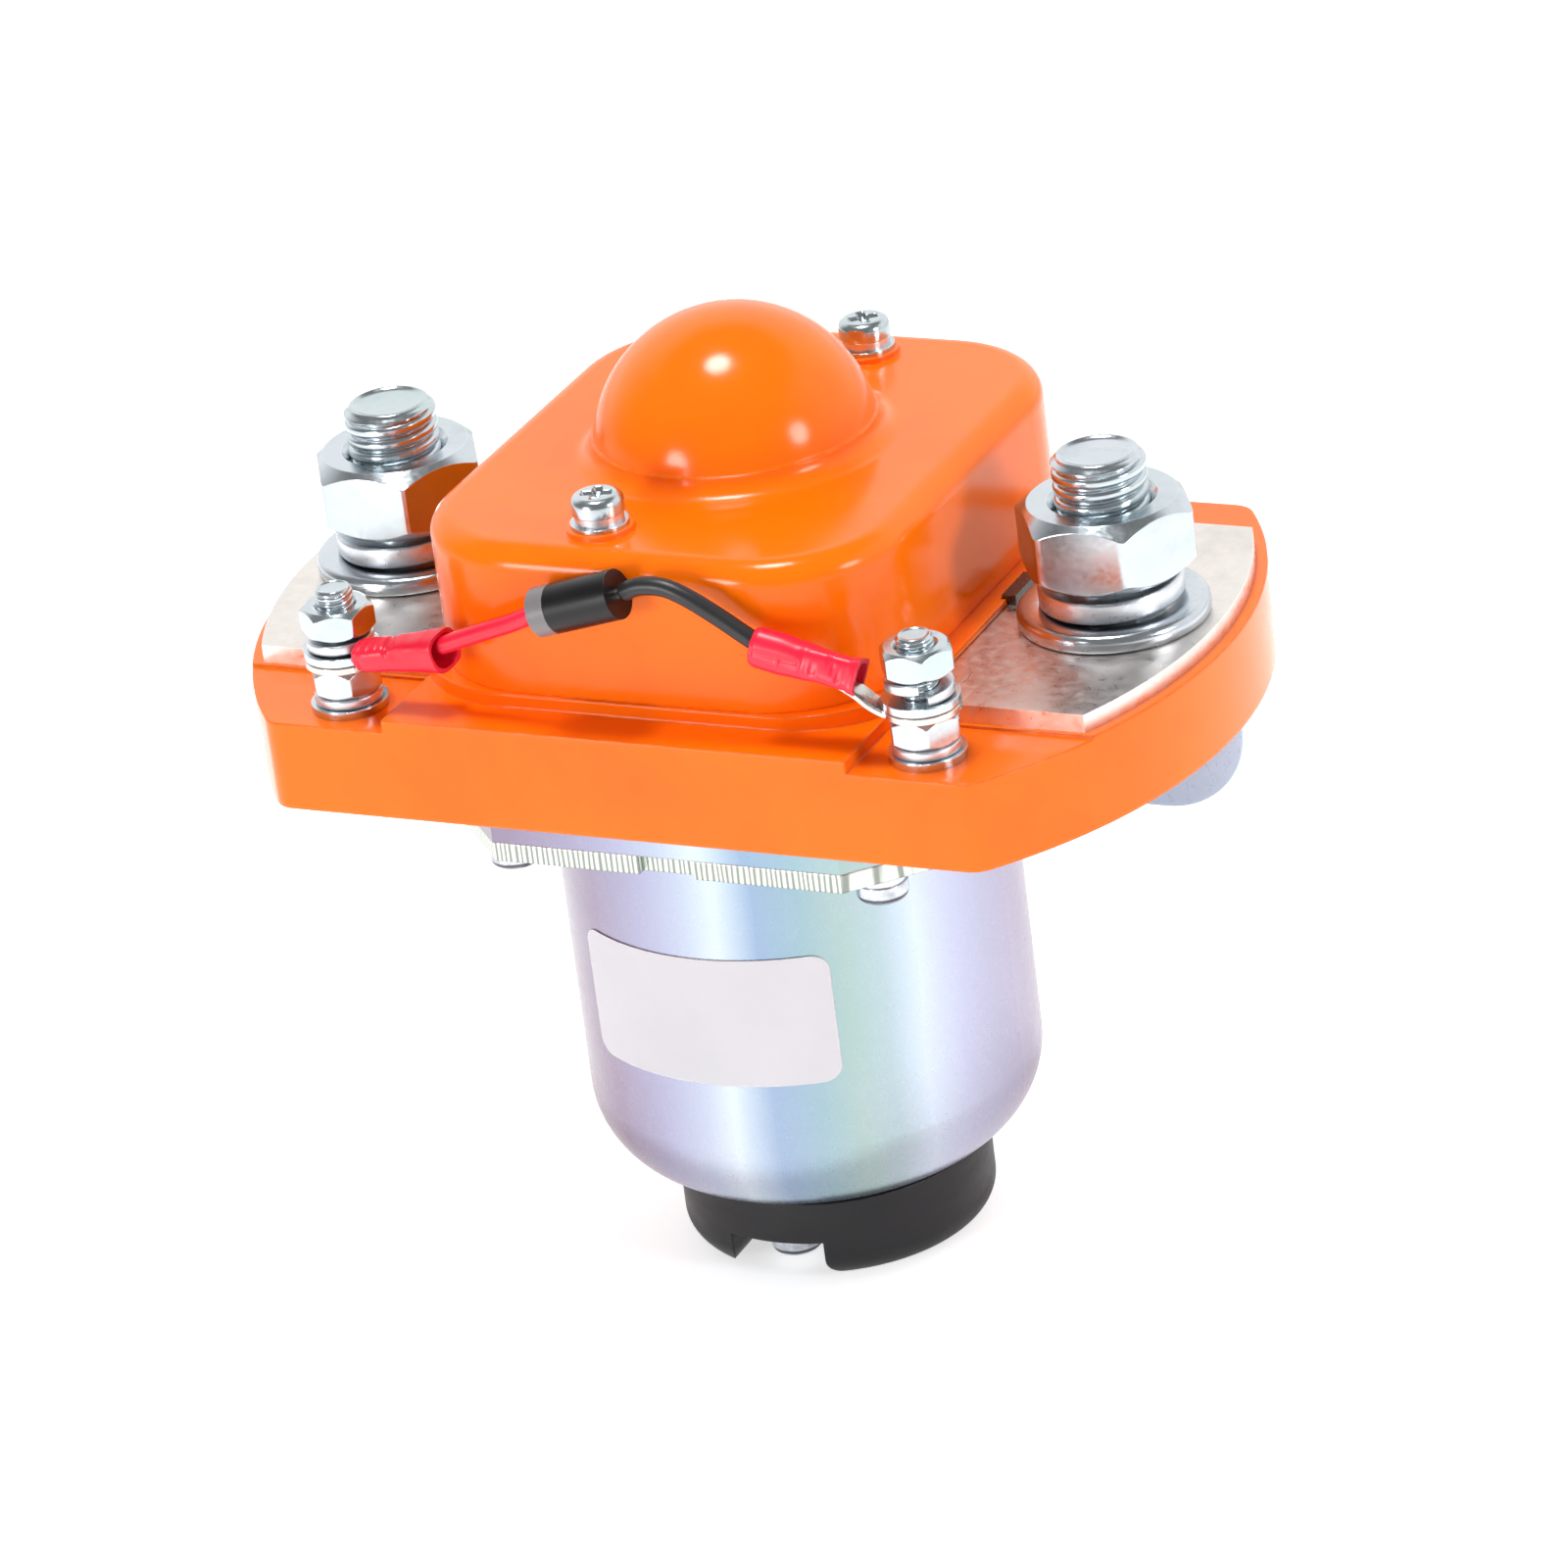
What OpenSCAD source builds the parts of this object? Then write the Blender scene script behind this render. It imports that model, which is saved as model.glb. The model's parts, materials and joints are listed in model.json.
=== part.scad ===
// Direct-current power contactor: a solenoid relay that joins two bolted busbars.
// The coil sits in a drawn steel can below, the contacts in a moulded chamber above.
// The frame stands on the bottom cap: +Z up the can's axis, +X to the right main stud.

/* [Moulded base] */
// Radius of the rounded ends of the base
base_end_r = 54.3; // [52:0.1:58]
// Distance from the can's axis to the front face of the base
base_front = 36.5; // [36.2:0.1:38]
// Distance from the can's axis to the back face of the base
base_back = 32.8; // [32.5:0.1:34]
// Height of the base from its underside to the plane the busbars lie on
base_h = 10.2; // [9.5:0.1:12]
// Radius of the upright corners of the base
base_corner_r = 3; // [2:0.5:4]
// Height of the front ledge above the busbar plane
ledge_h = 1.1; // [0.8:0.1:1.4]
// Distance from a coil stud to the end of the front ledge
ledge_gap = 6.7; // [6.3:0.1:7.8]
// Depth of the coil terminal seats below the busbar plane
seat_drop = 0.3; // [0.1:0.1:0.6]
// Height of the raised rim that carries the cover, above the busbar plane
rim_h = 2.7; // [2.6:0.1:3.2]
// How far the rim stands out past the cover over each busbar
rim_side = 2.4; // [1.5:0.1:2.6]
// How far the rim stands out past the cover at the front and the back
rim_front = 0.4; // [0.2:0.1:0.6]

/* [Cover] */
// Gap between the raised rim and the main flat washers
washer_gap = 2.1; // [1.3:0.1:2.4]
// Half depth of the cover, front to back
cover_half_d = 30.7; // [30.4:0.1:31]
// Height of the cover above the rim, without the dome
cover_h = 16.4; // [15.5:0.1:18]
// Radius of the upright corners of the cover
cover_corner_r = 14; // [12:0.5:15]
// Radius of the cover's upper edge
cover_edge_r = 2.5; // [1.5:0.1:3]
// Wall thickness of the cover
cover_wall = 2.2; // [1.8:0.1:2.6]
// Outer radius of the dome
dome_r = 15.3; // [15:0.1:16]
// Radius of the hollow fillet around the dome's foot
dome_foot_r = 2.2; // [1:0.1:2.5]

/* [Busbars] */
// Width of each busbar
bar_w = 46.8; // [44:0.2:47.2]
// Thickness of each busbar
bar_t = 2; // [1.5:0.1:2.2]
// How far the busbar's rounded outer end stays inside the end of the base
bar_setback = 1.3; // [0.9:0.1:3]
// Distance from the can's axis to a busbar's inner end
bar_inner = 12; // [11.5:0.1:12.5]
// Diameter of the flush rivet beside the cover
bar_rivet_d = 7.5; // [6:0.1:8]

/* [Main terminals] */
// Distance of the main studs from the rounded ends of the base
stud_inset = 12.9; // [12.4:0.1:13.2]
// Diameter of a main stud
stud_d = 10; // [9.9:0.05:10.1]
// How far a main stud rises above its busbar
stud_rise = 18.7; // [18:0.1:22]
// Width across the flats of a main nut
nut_af = 17; // [16:0.1:17.2]
// Height of a main nut
nut_h = 8; // [7.6:0.1:8.2]
// Outer diameter of a main spring washer
split_d = 15.4; // [15:0.1:16]
// Outer diameter of a main flat washer
washer_d = 20.4; // [19:0.1:21]
// Thickness of a main flat washer
washer_t = 2; // [1.6:0.1:2.2]
// Section height of a main spring washer
split_t = 2.3; // [2:0.1:2.5]
// How far the open end of a main spring washer is lifted
split_rise = 1.3; // [0.6:0.1:1.5]

/* [Coil terminals] */
// Distance of the coil studs from the rounded ends of the base, along X
coil_inset_x = 21; // [20.6:0.1:21.4]
// Distance of the coil studs from the front face of the base
coil_inset_y = 5.75; // [5.4:0.05:6]
// Diameter of a coil stud
coil_stud_d = 4; // [3.95:0.05:4.05]
// Width across the flats of a coil nut
coil_nut_af = 7; // [6.8:0.1:7.2]
// Height of a coil nut
coil_nut_h = 3.2; // [3:0.1:3.4]
// Outer diameter of a coil spring washer
coil_split_d = 7.2; // [7:0.1:7.4]
// Outer diameter of a coil flat washer
coil_washer_d = 8.2; // [7.8:0.1:8.6]
// Thickness of a coil flat washer and of a ring terminal
coil_washer_t = 0.9; // [0.8:0.05:1]
// Section height of a coil spring washer
coil_split_t = 1.1; // [1:0.05:1.2]
// How far the ends of the slack left-hand spring washer stand apart
left_rise = 0.5; // [0.1:0.05:0.6]
// How far the ends of the untightened right-hand spring washer stand apart
open_rise = 1.35; // [0.8:0.05:1.5]
// How far the left coil stud rises above its upper nut
coil_stud_over = 1.85; // [1.7:0.05:2.5]

/* [Coil can] */
// Outer diameter of the can
can_d = 49.6; // [49:0.1:50]
// Wall thickness of the can
can_wall = 1.5; // [1.2:0.1:1.6]
// Length of the can from its outer bottom to its flange
can_len = 46.9; // [45:0.1:48]
// Outer radius of the can's rounded bottom edge
can_bottom_r = 10.2; // [8:0.1:10.5]
// Thickness of the can's flange
flange_t = 2; // [1.6:0.1:2.2]
// Thickness of the magnet's top plate
yoke_t = 4.3; // [4:0.1:5]
// How far the flange, the top plate and the bracket stand out past the can
plate_margin = 3.4; // [3.2:0.1:3.7]
// Length of the corner chamfers of these plates
plate_chamfer = 8; // [7:0.1:8.5]
// Distance of the plate screws from the can's wall
plate_screw_out = 5.6; // [5.2:0.1:5.8]

/* [Mounting bracket] */
// Thickness of the bracket's sheet
bracket_t = 2.1; // [1.8:0.1:2.3]
// Distance from the can's axis to the bracket's back face
bracket_back = 36.5; // [36:0.1:37]
// Width of the bracket's upright leg
leg_w = 78.2; // [77:0.2:79]
// Height of the leg's lower edge above the bottom cap's foot
leg_low = 35; // [34:0.2:36]
// Radius of the leg's lower corners
leg_corner_r = 10; // [9:0.1:10.4]
// Distance between the two wall holes
wall_pitch = 60; // [59:0.2:60.6]
// Diameter of a wall hole
wall_hole_d = 6.5; // [6:0.1:6.8]

/* [Bottom cap] */
// Diameter of the bottom cap
cap_d = 34.4; // [33:0.2:35]
// Height of the bottom cap
cap_h = 9.65; // [9.2:0.05:10]
// Sideways offset of the cap from the can's axis
cap_shift = 0.8; // [0:0.1:1]
// Radius of the cap's lower edge
cap_edge_r = 3; // [2:0.1:3.2]
// Width of the slot across the cap's foot
slot_w = 11; // [10.4:0.1:11.4]
// Depth of the slot across the cap's foot
slot_d = 4.8; // [4.5:0.1:5]
// Rounding of the foot's edges along the slot
slot_edge_r = 2.5; // [1:0.1:2.8]
// Distance of each cap screw from the axis
cap_screw_y = 11.7; // [11.4:0.1:11.8]

/* [Contacts and motion] */
// Free gap between the moving and the fixed contact tips
contact_gap = 3; // [2.6:0.1:3.2]
// Travel of the plunger beyond the closing of the contacts
over_travel = 1.5; // [1.2:0.1:1.6]
// Thickness of the contact bridge
bridge_t = 4; // [3.6:0.1:4.2]
// Thickness of a contact tip
tip_t = 1.5; // [1.3:0.1:1.6]
// Gap between the ends of the contact bridge and the cover's wall
bridge_gap = 2.5; // [2.1:0.1:3]
// Width of the contact bridge
bridge_w = 16; // [15:0.5:18]
// Diameter of the plunger
plunger_d = 23.1; // [22.9:0.1:23.2]
// Length of the plunger
plunger_len = 32; // [31:0.1:32.4]
// Diameter of the plunger's shaft
shaft_d = 6; // [5.9:0.05:6.05]
// Radial running clearance of the plunger and of the shaft
run_clear = 0.06; // [0.03:0.01:0.09]

/* [Suppression diode] */
// Diameter of the diode's body
diode_d = 5.3; // [5.1:0.1:5.4]
// Length of the diode's body
diode_len = 9.8; // [9.4:0.1:10]
// Diameter of the red sleeve on the diode's left lead
red_sleeve_d = 1.7; // [1.5:0.1:2.2]
// Diameter of the black sleeve on the diode's right lead
black_sleeve_d = 1.7; // [1.5:0.1:2]

/* [Small screws] */
// Shank diameter of every small screw
screw_d = 3; // [2.9:0.05:3.05]
// Head diameter of every small screw
head_d = 5.6; // [5.4:0.1:5.8]
// Head height of every small screw
head_h = 2.1; // [1.9:0.1:2.3]

/* [Hidden] */
$fn = 72;
// Clearance between a thread and what is screwed or slipped over it
thread_clear = 0.05;
// Clearance of a drilled hole around the shank that passes it
pass_clear = 0.2;
// What a tightened split washer still climbs
flat_rise = 0.05;
// A small overlap for clean cuts
eps = 0.1;
// Gap that is left between the contact tips at the end of the travel, where the real ones touch
closed_gap = 0.02;
// Clearance of a bolt head in its pocket, and of a busbar in its slot
pocket_clear = 0.1;

// Heights, from the foot of the bottom cap upwards
z_flange = cap_h + can_len;
z_bracket = z_flange - bracket_t;
z_yoke = z_flange + flange_t;
z_base = z_yoke + yoke_t;
z_bar = z_base + base_h;
z_bar_top = z_bar + bar_t;
z_seat = z_bar - seat_drop;
z_rim = z_bar + rim_h;
z_cover_top = z_rim + cover_h;
z_dome = z_cover_top - 0.6;
stud_x = base_end_r - stud_inset;
coil_x = base_end_r - coil_inset_x;
coil_front = base_front - coil_inset_y;
bar_end_r = base_end_r - bar_setback;
ledge_half = coil_x - ledge_gap;
cover_half_w = stud_x - washer_d / 2 - washer_gap - rim_side;
bolt_head_h = 6.4;
coil_head_h = 2.8;
coil_head_floor = 1.4;
coil_head_z = z_seat - coil_head_floor - coil_head_h;

// Threads are cylinders: the mean diameter up to just above the nut, the full one on the free end
stud_mean_d = stud_d * 0.903;
stud_free_over = 0.3;
coil_mean_d = coil_stud_d * 0.886;
coil_free_over = 0.1;

// Flush rivets and clamp tabs of the busbars
bar_rivet = [coil_x - 4.9, 17.5];
tab_size = [1.6, 6, 1.1];
tab_x = cover_half_w + rim_side - 0.6;
tab_y = 0.3;

// Stack on the main studs
z_split = z_bar_top + washer_t;
z_nut = z_split + split_t + split_rise;

// Stacks on the coil studs
z_coil_split = z_seat + coil_washer_t;
z_coil_nut = z_coil_split + coil_split_t;
z_ring = z_coil_nut + coil_nut_h;
z_upper_washer = z_ring + coil_washer_t;
z_upper_split = z_upper_washer + coil_washer_t;
z_left_nut = z_upper_split + coil_split_t + left_rise;
z_right_nut = z_upper_split + coil_split_t + open_rise;
coil_stud_top = z_left_nut + coil_nut_h + coil_stud_over;

// Coil and magnet
can_r = can_d / 2;
can_inner = can_r - can_wall;
z_can_floor = cap_h + can_wall;
pole_flange_t = 3;
plunger_r = plunger_d / 2;
tube_wall = 0.5;
tube_r = plunger_r + run_clear + tube_wall;
plate_w = can_d + 2 * plate_margin;
plate_screw = (can_d / 2 + plate_screw_out) / sqrt(2);
pole_clear = 0.1;
pole_flange_r = 14.4;
pole_screw_depth = 2.8;
screw_end_gap = 0.4;
cap_web = 1.8;
cap_recess_r = 7;
stroke = contact_gap + over_travel;
tube_stop = 1.2;
plunger_reach = 1.4;
plunger_z = z_yoke + plunger_reach - plunger_len;
residual = 0.5;
pole_top = plunger_z - stroke - residual;
bobbin_z = z_can_floor + pole_flange_t;
bobbin_wall = 1.2;
bobbin_flange_t = 1.6;
bobbin_r = can_inner - 0.5;

// Contact train, in the open position
z_tip_top = z_bar_top + tip_t;
z_bridge_tip = z_tip_top + contact_gap + closed_gap;
z_bridge = z_bridge_tip + tip_t;
z_bridge_top = z_bridge + bridge_t;
bush_d = 9;
bush_flange_d = 15;
bush_flange_t = 1;
spring_len = 10.5;
bridge_len = 2 * (cover_half_w - cover_wall - bridge_gap);
tip_x = (bridge_len / 2 + bar_inner) / 2;
fixed_tip = [bridge_len / 2 - bar_inner, 14];
moving_tip = [fixed_tip[0] - 2, 12];
contact_spring_r = 5.8;
contact_wire_d = 1.2;
return_spring_r = 7.4;
return_wire_d = 1;
chamber = [bridge_len + 1, 39];
z_contact_spring = z_bridge_top + bush_flange_t;
z_top_washer = z_contact_spring + spring_len;
top_washer_t = 1;
z_top_nut = z_top_washer + top_washer_t;
top_washer_d = 14;
top_nut_af = 10;
top_nut_h = 3.2;
shaft_over = 1.2;
shaft_top = z_top_nut + top_nut_h + shaft_over;
shaft_seat = 12;
shaft_low = plunger_z + shaft_seat;
collar_t = 2;
collar_d = 18;
z_collar = z_bridge - collar_t;
well_r = 10;
well_floor = 2;

// Small screws
cover_screw = [4.4, 24];
small_washer_d = 6.2;
small_washer_t = 0.5;
small_split_t = 0.9;
recess = [3.1, 0.66, 1.1];
boss_r = 3.6;
boss_h = 0.6;
column_r = 3.4;
screw_depth = 5.5;
end_wall = 2.5;
shelf_over = 0.6;
hollow_depth = 3;
rib_t = 1.6;
lead_d = 1.2;
lead_in = 2.2;
lead_turn = 67;
lead_from = (bobbin_r - lead_in) * [cos(lead_turn), -sin(lead_turn)];
small_split_d = 5.2;
split_slot = 0.4;
can_clear = 0.35;
dimple_d = 1.8;
dimple_h = 1.5;
dimple_gap = 0.2;
notch = [6.4, 1];
shoulder = 4;
leg_z = leg_low + leg_corner_r;
wall_drop = 13.5;
wall_z = z_yoke - wall_drop;
bend_r = 1;

// Shared shapes

// Rectangle with round corners, centred on the axis
module round_rect(half_w, half_d, r) {
    square([2 * (half_w - r), 2 * half_d], center = true);
    square([2 * half_w, 2 * (half_d - r)], center = true);
    for (sx = [-1, 1], sy = [-1, 1])
        translate([sx * (half_w - r), sy * (half_d - r)]) circle(r);
}

// Upright section of a box whose upper edges are rounded
module lid_section(half, h, r) {
    translate([-half, 0]) square([2 * half, h - r]);
    translate([-half + r, 0]) square([2 * (half - r), h]);
    for (s = [-1, 1]) translate([s * (half - r), h - r]) circle(r);
}

// Box with upright corner radius r and upper edge radius e
module lid_block(half_w, half_d, h, r, e) {
    rotate([90, 0, 90]) linear_extrude(2 * (half_w - r), center = true) lid_section(half_d, h, e);
    rotate([90, 0, 0]) linear_extrude(2 * (half_d - r), center = true) lid_section(half_w, h, e);
    for (sx = [-1, 1], sy = [-1, 1])
        translate([sx * (half_w - r), sy * (half_d - r), 0])
            rotate_extrude() intersection() {
                lid_section(r, h, e);
                square([r, h]);
            }
}

module ring(d_out, d_in, h) {
    difference() {
        cylinder(d = d_out, h = h);
        translate([0, 0, -eps]) cylinder(d = d_in, h = h + 2 * eps);
    }
}

// Hexagonal prism with its upper and lower corners turned off
module hex_block(af, h) {
    corner = af / 2 / cos(30);
    cut = (corner - af / 2) * 0.55;
    intersection() {
        cylinder(r = corner, h = h, $fn = 6);
        rotate_extrude() polygon([
            [0, 0], [af / 2, 0], [corner, cut], [corner, h - cut], [af / 2, h], [0, h]
        ]);
    }
}

// Nut with a countersink at both ends of its bore
module hex_nut(af, h, bore_d) {
    sink = bore_d * 0.12;
    difference() {
        hex_block(af, h);
        translate([0, 0, -eps]) cylinder(d = bore_d, h = h + 2 * eps);
        translate([0, 0, -eps]) cylinder(d1 = bore_d + 2 * (sink + eps), d2 = bore_d, h = sink + eps);
        translate([0, 0, h - sink]) cylinder(d1 = bore_d, d2 = bore_d + 2 * (sink + eps), h = sink + eps);
    }
}

// Bolt whose head stands at height 0 and whose thread is full_d wide above free_from
module long_bolt(af, head, mean_d, full_d, free_from, top) {
    hex_block(af, head);
    cylinder(d = mean_d, h = free_from);
    translate([0, 0, free_from]) stud_rod(full_d, top - free_from);
}

// Round bar with a chamfered upper end
module stud_rod(d, h) {
    chamfer = d * 0.1;
    cylinder(d = d, h = h - chamfer);
    translate([0, 0, h - chamfer]) cylinder(d1 = d, d2 = d - 2 * chamfer, h = chamfer);
}

// Split spring washer: a square section that climbs by rise in one turn
module split_ring(d_out, d_in, t, rise) {
    steps = 28;
    gap = 14;
    span = 360 - gap;
    pts = [for (i = [0:steps], c = [0:3]) let (
        a = gap / 2 + span * i / steps,
        r = (c == 0 || c == 3) ? d_in / 2 : d_out / 2,
        z = rise * i / steps + (c > 1 ? t : 0)
    ) [r * cos(a), r * sin(a), z]];
    sides = [for (i = [0:steps - 1], c = [0:3]) [
        4 * i + c, 4 * i + 4 + c, 4 * i + 4 + (c + 1) % 4, 4 * i + (c + 1) % 4
    ]];
    last = 4 * steps;
    polyhedron(pts, concat([[0, 1, 2, 3]], sides, [[last + 3, last + 2, last + 1, last]]), 2);
}

// Coil spring of round wire, from height 0 to len over the whole wire
module coil_spring(mean_r, wire_d, len, turns) {
    sides = 8;
    per_turn = 16;
    steps = turns * per_turn;
    climb = len - wire_d;
    pts = [for (i = [0:steps], c = [0:sides - 1]) let (
        a = 360 * i / per_turn,
        b = 360 * c / sides,
        r = mean_r + wire_d / 2 * cos(b),
        z = wire_d / 2 + climb * i / steps + wire_d / 2 * sin(b)
    ) [r * cos(a), r * sin(a), z]];
    skin = [for (i = [0:steps - 1], c = [0:sides - 1]) [
        sides * i + c, sides * i + (c + 1) % sides,
        sides * (i + 1) + (c + 1) % sides, sides * (i + 1) + c
    ]];
    first = [for (c = [0:sides - 1]) sides - 1 - c];
    last = [for (c = [0:sides - 1]) sides * steps + c];
    polyhedron(pts, concat([first], skin, [last]), 2);
}

// Small pan head screw: the head's underside is at height 0, the shank hangs below it
module pan_screw(shank) {
    edge = head_h * 0.43;
    translate([0, 0, -shank]) cylinder(d = screw_d, h = shank + eps);
    difference() {
        rotate_extrude() {
            square([head_d / 2, head_h - edge]);
            square([head_d / 2 - edge, head_h]);
            translate([head_d / 2 - edge, head_h - edge]) circle(edge, $fn = 32);
        }
        for (a = [0, 90])
            rotate([0, 0, a]) translate([-recess[0] / 2, -recess[1] / 2, head_h - recess[2]])
                cube(recess + [0, 0, eps]);
    }
}

// Places what is drawn up the axis so that it runs from a towards b
module along(a, b) {
    v = b - a;
    translate(a) rotate([0, acos(v[2] / norm(v)), atan2(v[1], v[0])]) children();
}

// Straight round bar between two points
module rod(a, b, d) {
    along(a, b) cylinder(d = d, h = norm(b - a));
}

// Route with each inner corner rounded off over reach on both sides
function bend(a, b, c, reach, n) = let (
    p = b + reach * (a - b) / norm(a - b),
    q = b + reach * (c - b) / norm(c - b)
) [for (k = [0:n]) let (u = k / n) (1 - u) * (1 - u) * p + 2 * u * (1 - u) * b + u * u * q];

function soft_route(p, reach) = concat(
    [p[0]],
    [for (i = [1:len(p) - 2]) each bend(p[i - 1], p[i], p[i + 1], reach, 4)],
    [p[len(p) - 1]]
);

// Round wire along a route that lies near one plane; side is that plane's normal
module wire(corners, d, reach, side) {
    sides = 10;
    route = soft_route(corners, reach);
    n = len(route);
    pts = [for (i = [0:n - 1], c = [0:sides - 1]) let (
        step = route[min(i + 1, n - 1)] - route[max(i - 1, 0)],
        dir = step / norm(step),
        flat = side - dir * (side * dir),
        u = flat / norm(flat),
        v = cross(dir, u),
        b = 360 * c / sides
    ) route[i] + d / 2 * (cos(b) * u + sin(b) * v)];
    skin = [for (i = [0:n - 2], c = [0:sides - 1]) [
        sides * i + c, sides * (i + 1) + c,
        sides * (i + 1) + (c + 1) % sides, sides * i + (c + 1) % sides
    ]];
    first = [for (c = [0:sides - 1]) c];
    last = [for (c = [0:sides - 1]) sides * n - 1 - c];
    polyhedron(pts, concat([first], skin, [last]), 2);
}

// Moulded parts

// Corner of the base outline where the front or back face meets the round end
function corner_center(depth) = [
    sqrt(pow(base_end_r - base_corner_r, 2) - pow(depth - base_corner_r, 2)),
    depth - base_corner_r
];

// One half of the base outline, out to depth in +Y, with its two corners rounded
module base_half(depth) {
    c = corner_center(depth);
    far = base_end_r / norm(c);
    difference() {
        intersection() {
            circle(base_end_r);
            translate([-base_end_r, -eps]) square([2 * base_end_r, depth + eps]);
        }
        for (s = [-1, 1])
            polygon([
                [s * c[0], depth], [s * c[0] * far, c[1] * far],
                [s * (c[0] + 9), depth], [s * (c[0] + 9), depth + 9], [s * c[0], depth + 9]
            ]);
    }
    for (s = [-1, 1]) translate([s * c[0], c[1]]) circle(base_corner_r, $fn = 48);
}

module base_outline() {
    base_half(base_back);
    mirror([0, 1]) base_half(base_front);
}

// Everything that is cut out of the base
module base_cuts() {
    // contact chamber and the well around the return spring
    translate([-chamber[0] / 2, -chamber[1] / 2, z_bar]) cube([chamber[0], chamber[1], rim_h + eps]);
    translate([0, 0, z_base + well_floor]) cylinder(r = well_r, h = base_h + rim_h);
    translate([0, 0, z_base - eps]) cylinder(d = shaft_d + 1.4, h = well_floor + 2 * eps);
    // slots for the busbars
    for (s = [0, 1]) mirror([s, 0, 0])
        translate([bar_inner - 1, -bar_w / 2 - pocket_clear, z_bar])
            cube([base_end_r, bar_w + 2 * pocket_clear, bar_t + pocket_clear]);
    // notches for the clamp tabs
    for (s = [0, 1]) mirror([s, 0, 0])
        translate([tab_x - pocket_clear, tab_y - pocket_clear, z_bar_top])
            cube([tab_size[0] + 1, tab_size[1] + 2 * pocket_clear, rim_h]);
    // pockets for the bolt heads
    for (s = [-1, 1]) {
        translate([s * stud_x, 0, z_bar - bolt_head_h - pocket_clear])
            cylinder(r = (nut_af / 2 + pocket_clear) / cos(30), h = bolt_head_h + 2 * pocket_clear, $fn = 6);
        translate([s * coil_x, -coil_front, z_base - eps])
            cylinder(r = (coil_nut_af / 2 + pocket_clear) / cos(30),
                h = coil_head_z - z_base + coil_head_h + eps, $fn = 6);
        translate([s * coil_x, -coil_front, z_base])
            cylinder(d = coil_stud_d + 2 * thread_clear, h = base_h + rim_h);
    }
    // threaded holes of the plate screws and the cover screws
    at_plate_screws(z_base - eps) cylinder(d = screw_d + 2 * thread_clear, h = screw_depth + 0.5 + eps);
    at_cover_screws(z_rim - screw_depth - 0.5) cylinder(d = screw_d + 2 * thread_clear, h = screw_depth + 1);
    // channels for the coil leads
    for (s = [-1, 1]) lead_channel(s);
    // hollows in the underside of the two ends, with ribs and bosses left standing
    difference() {
        translate([0, 0, z_base - eps]) linear_extrude(hollow_depth + eps) intersection() {
            circle(base_end_r - end_wall);
            translate([-base_end_r, -base_front + end_wall])
                square([2 * base_end_r, base_front + base_back - 2 * end_wall]);
        }
        translate([-plate_w / 2 - 1.8, -base_front, z_base - 1])
            cube([plate_w + 3.6, base_front + base_back, hollow_depth + 2]);
        for (s = [-1, 1]) {
            translate([s * stud_x, 0, z_base - 1]) cylinder(r = 7, h = hollow_depth + 2);
            translate([s * coil_x, -coil_front, z_base - 1]) cylinder(r = 5.6, h = hollow_depth + 2);
            translate([s * stud_x - 15, -rib_t / 2, z_base - 1]) cube([30, rib_t, hollow_depth + 2]);
            translate([s * stud_x - rib_t / 2, -base_front, z_base - 1])
                cube([rib_t, base_front + base_back, hollow_depth + 2]);
        }
    }
}

module lead_channel(s) {
    v = [coil_x - lead_from[0], -coil_front - lead_from[1]];
    translate([s * lead_from[0], lead_from[1], z_base - eps])
        rotate([0, 0, atan2(v[1], s * v[0])])
            translate([-lead_d, -lead_d, 0]) cube([norm(v) + lead_d, 2 * lead_d, 2.2 * lead_d + eps]);
}

module base_moulding() {
    color("darkorange") difference() {
        union() {
            translate([0, 0, z_base]) linear_extrude(base_h - seat_drop) base_outline();
            // busbar plane, without the two coil terminal seats
            translate([0, 0, z_base + 2]) linear_extrude(base_h - 2) intersection() {
                base_outline();
                union() {
                    translate([-base_end_r, -bar_w / 2 - shelf_over]) square(2 * base_end_r);
                    translate([-ledge_half, -base_front]) square([2 * ledge_half, base_front]);
                }
            }
            translate([-ledge_half, -base_front, z_bar - 1])
                cube([2 * ledge_half, base_front - 20, ledge_h + 1]);
            translate([0, 0, z_bar - 1]) linear_extrude(rim_h + 1)
                round_rect(cover_half_w + rim_side, cover_half_d + rim_front, cover_corner_r);
        }
        base_cuts();
    }
}

module cover_moulding() {
    inner_r = cover_corner_r - cover_wall;
    foot_top = dome_r + dome_foot_r;
    color("darkorange") difference() {
        union() {
            difference() {
                union() {
                    translate([0, 0, z_rim])
                        lid_block(cover_half_w, cover_half_d, cover_h, cover_corner_r, cover_edge_r);
                    translate([0, 0, z_dome]) sphere(r = dome_r);
                    // hollow fillet around the dome's foot
                    translate([0, 0, z_cover_top - eps]) rotate_extrude() difference() {
                        square([foot_top, dome_foot_r + eps]);
                        translate([foot_top, dome_foot_r + eps]) circle(dome_foot_r, $fn = 48);
                    }
                }
                translate([0, 0, z_rim - eps])
                    lid_block(cover_half_w - cover_wall, cover_half_d - cover_wall,
                        cover_h - cover_wall + eps, inner_r, 1);
                translate([0, 0, z_dome]) sphere(r = dome_r - cover_wall);
            }
            for (s = [-1, 1]) translate([s * cover_screw[0], s * cover_screw[1], 0]) {
                translate([0, 0, z_rim]) cylinder(r = column_r, h = cover_h - eps);
                translate([0, 0, z_cover_top - eps]) cylinder(r = boss_r, h = boss_h + eps);
            }
        }
        for (s = [-1, 1])
            translate([s * cover_screw[0], s * cover_screw[1], z_rim - eps])
                cylinder(d = screw_d + pass_clear, h = cover_h + 2);
    }
}

// Busbars and main terminals

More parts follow.
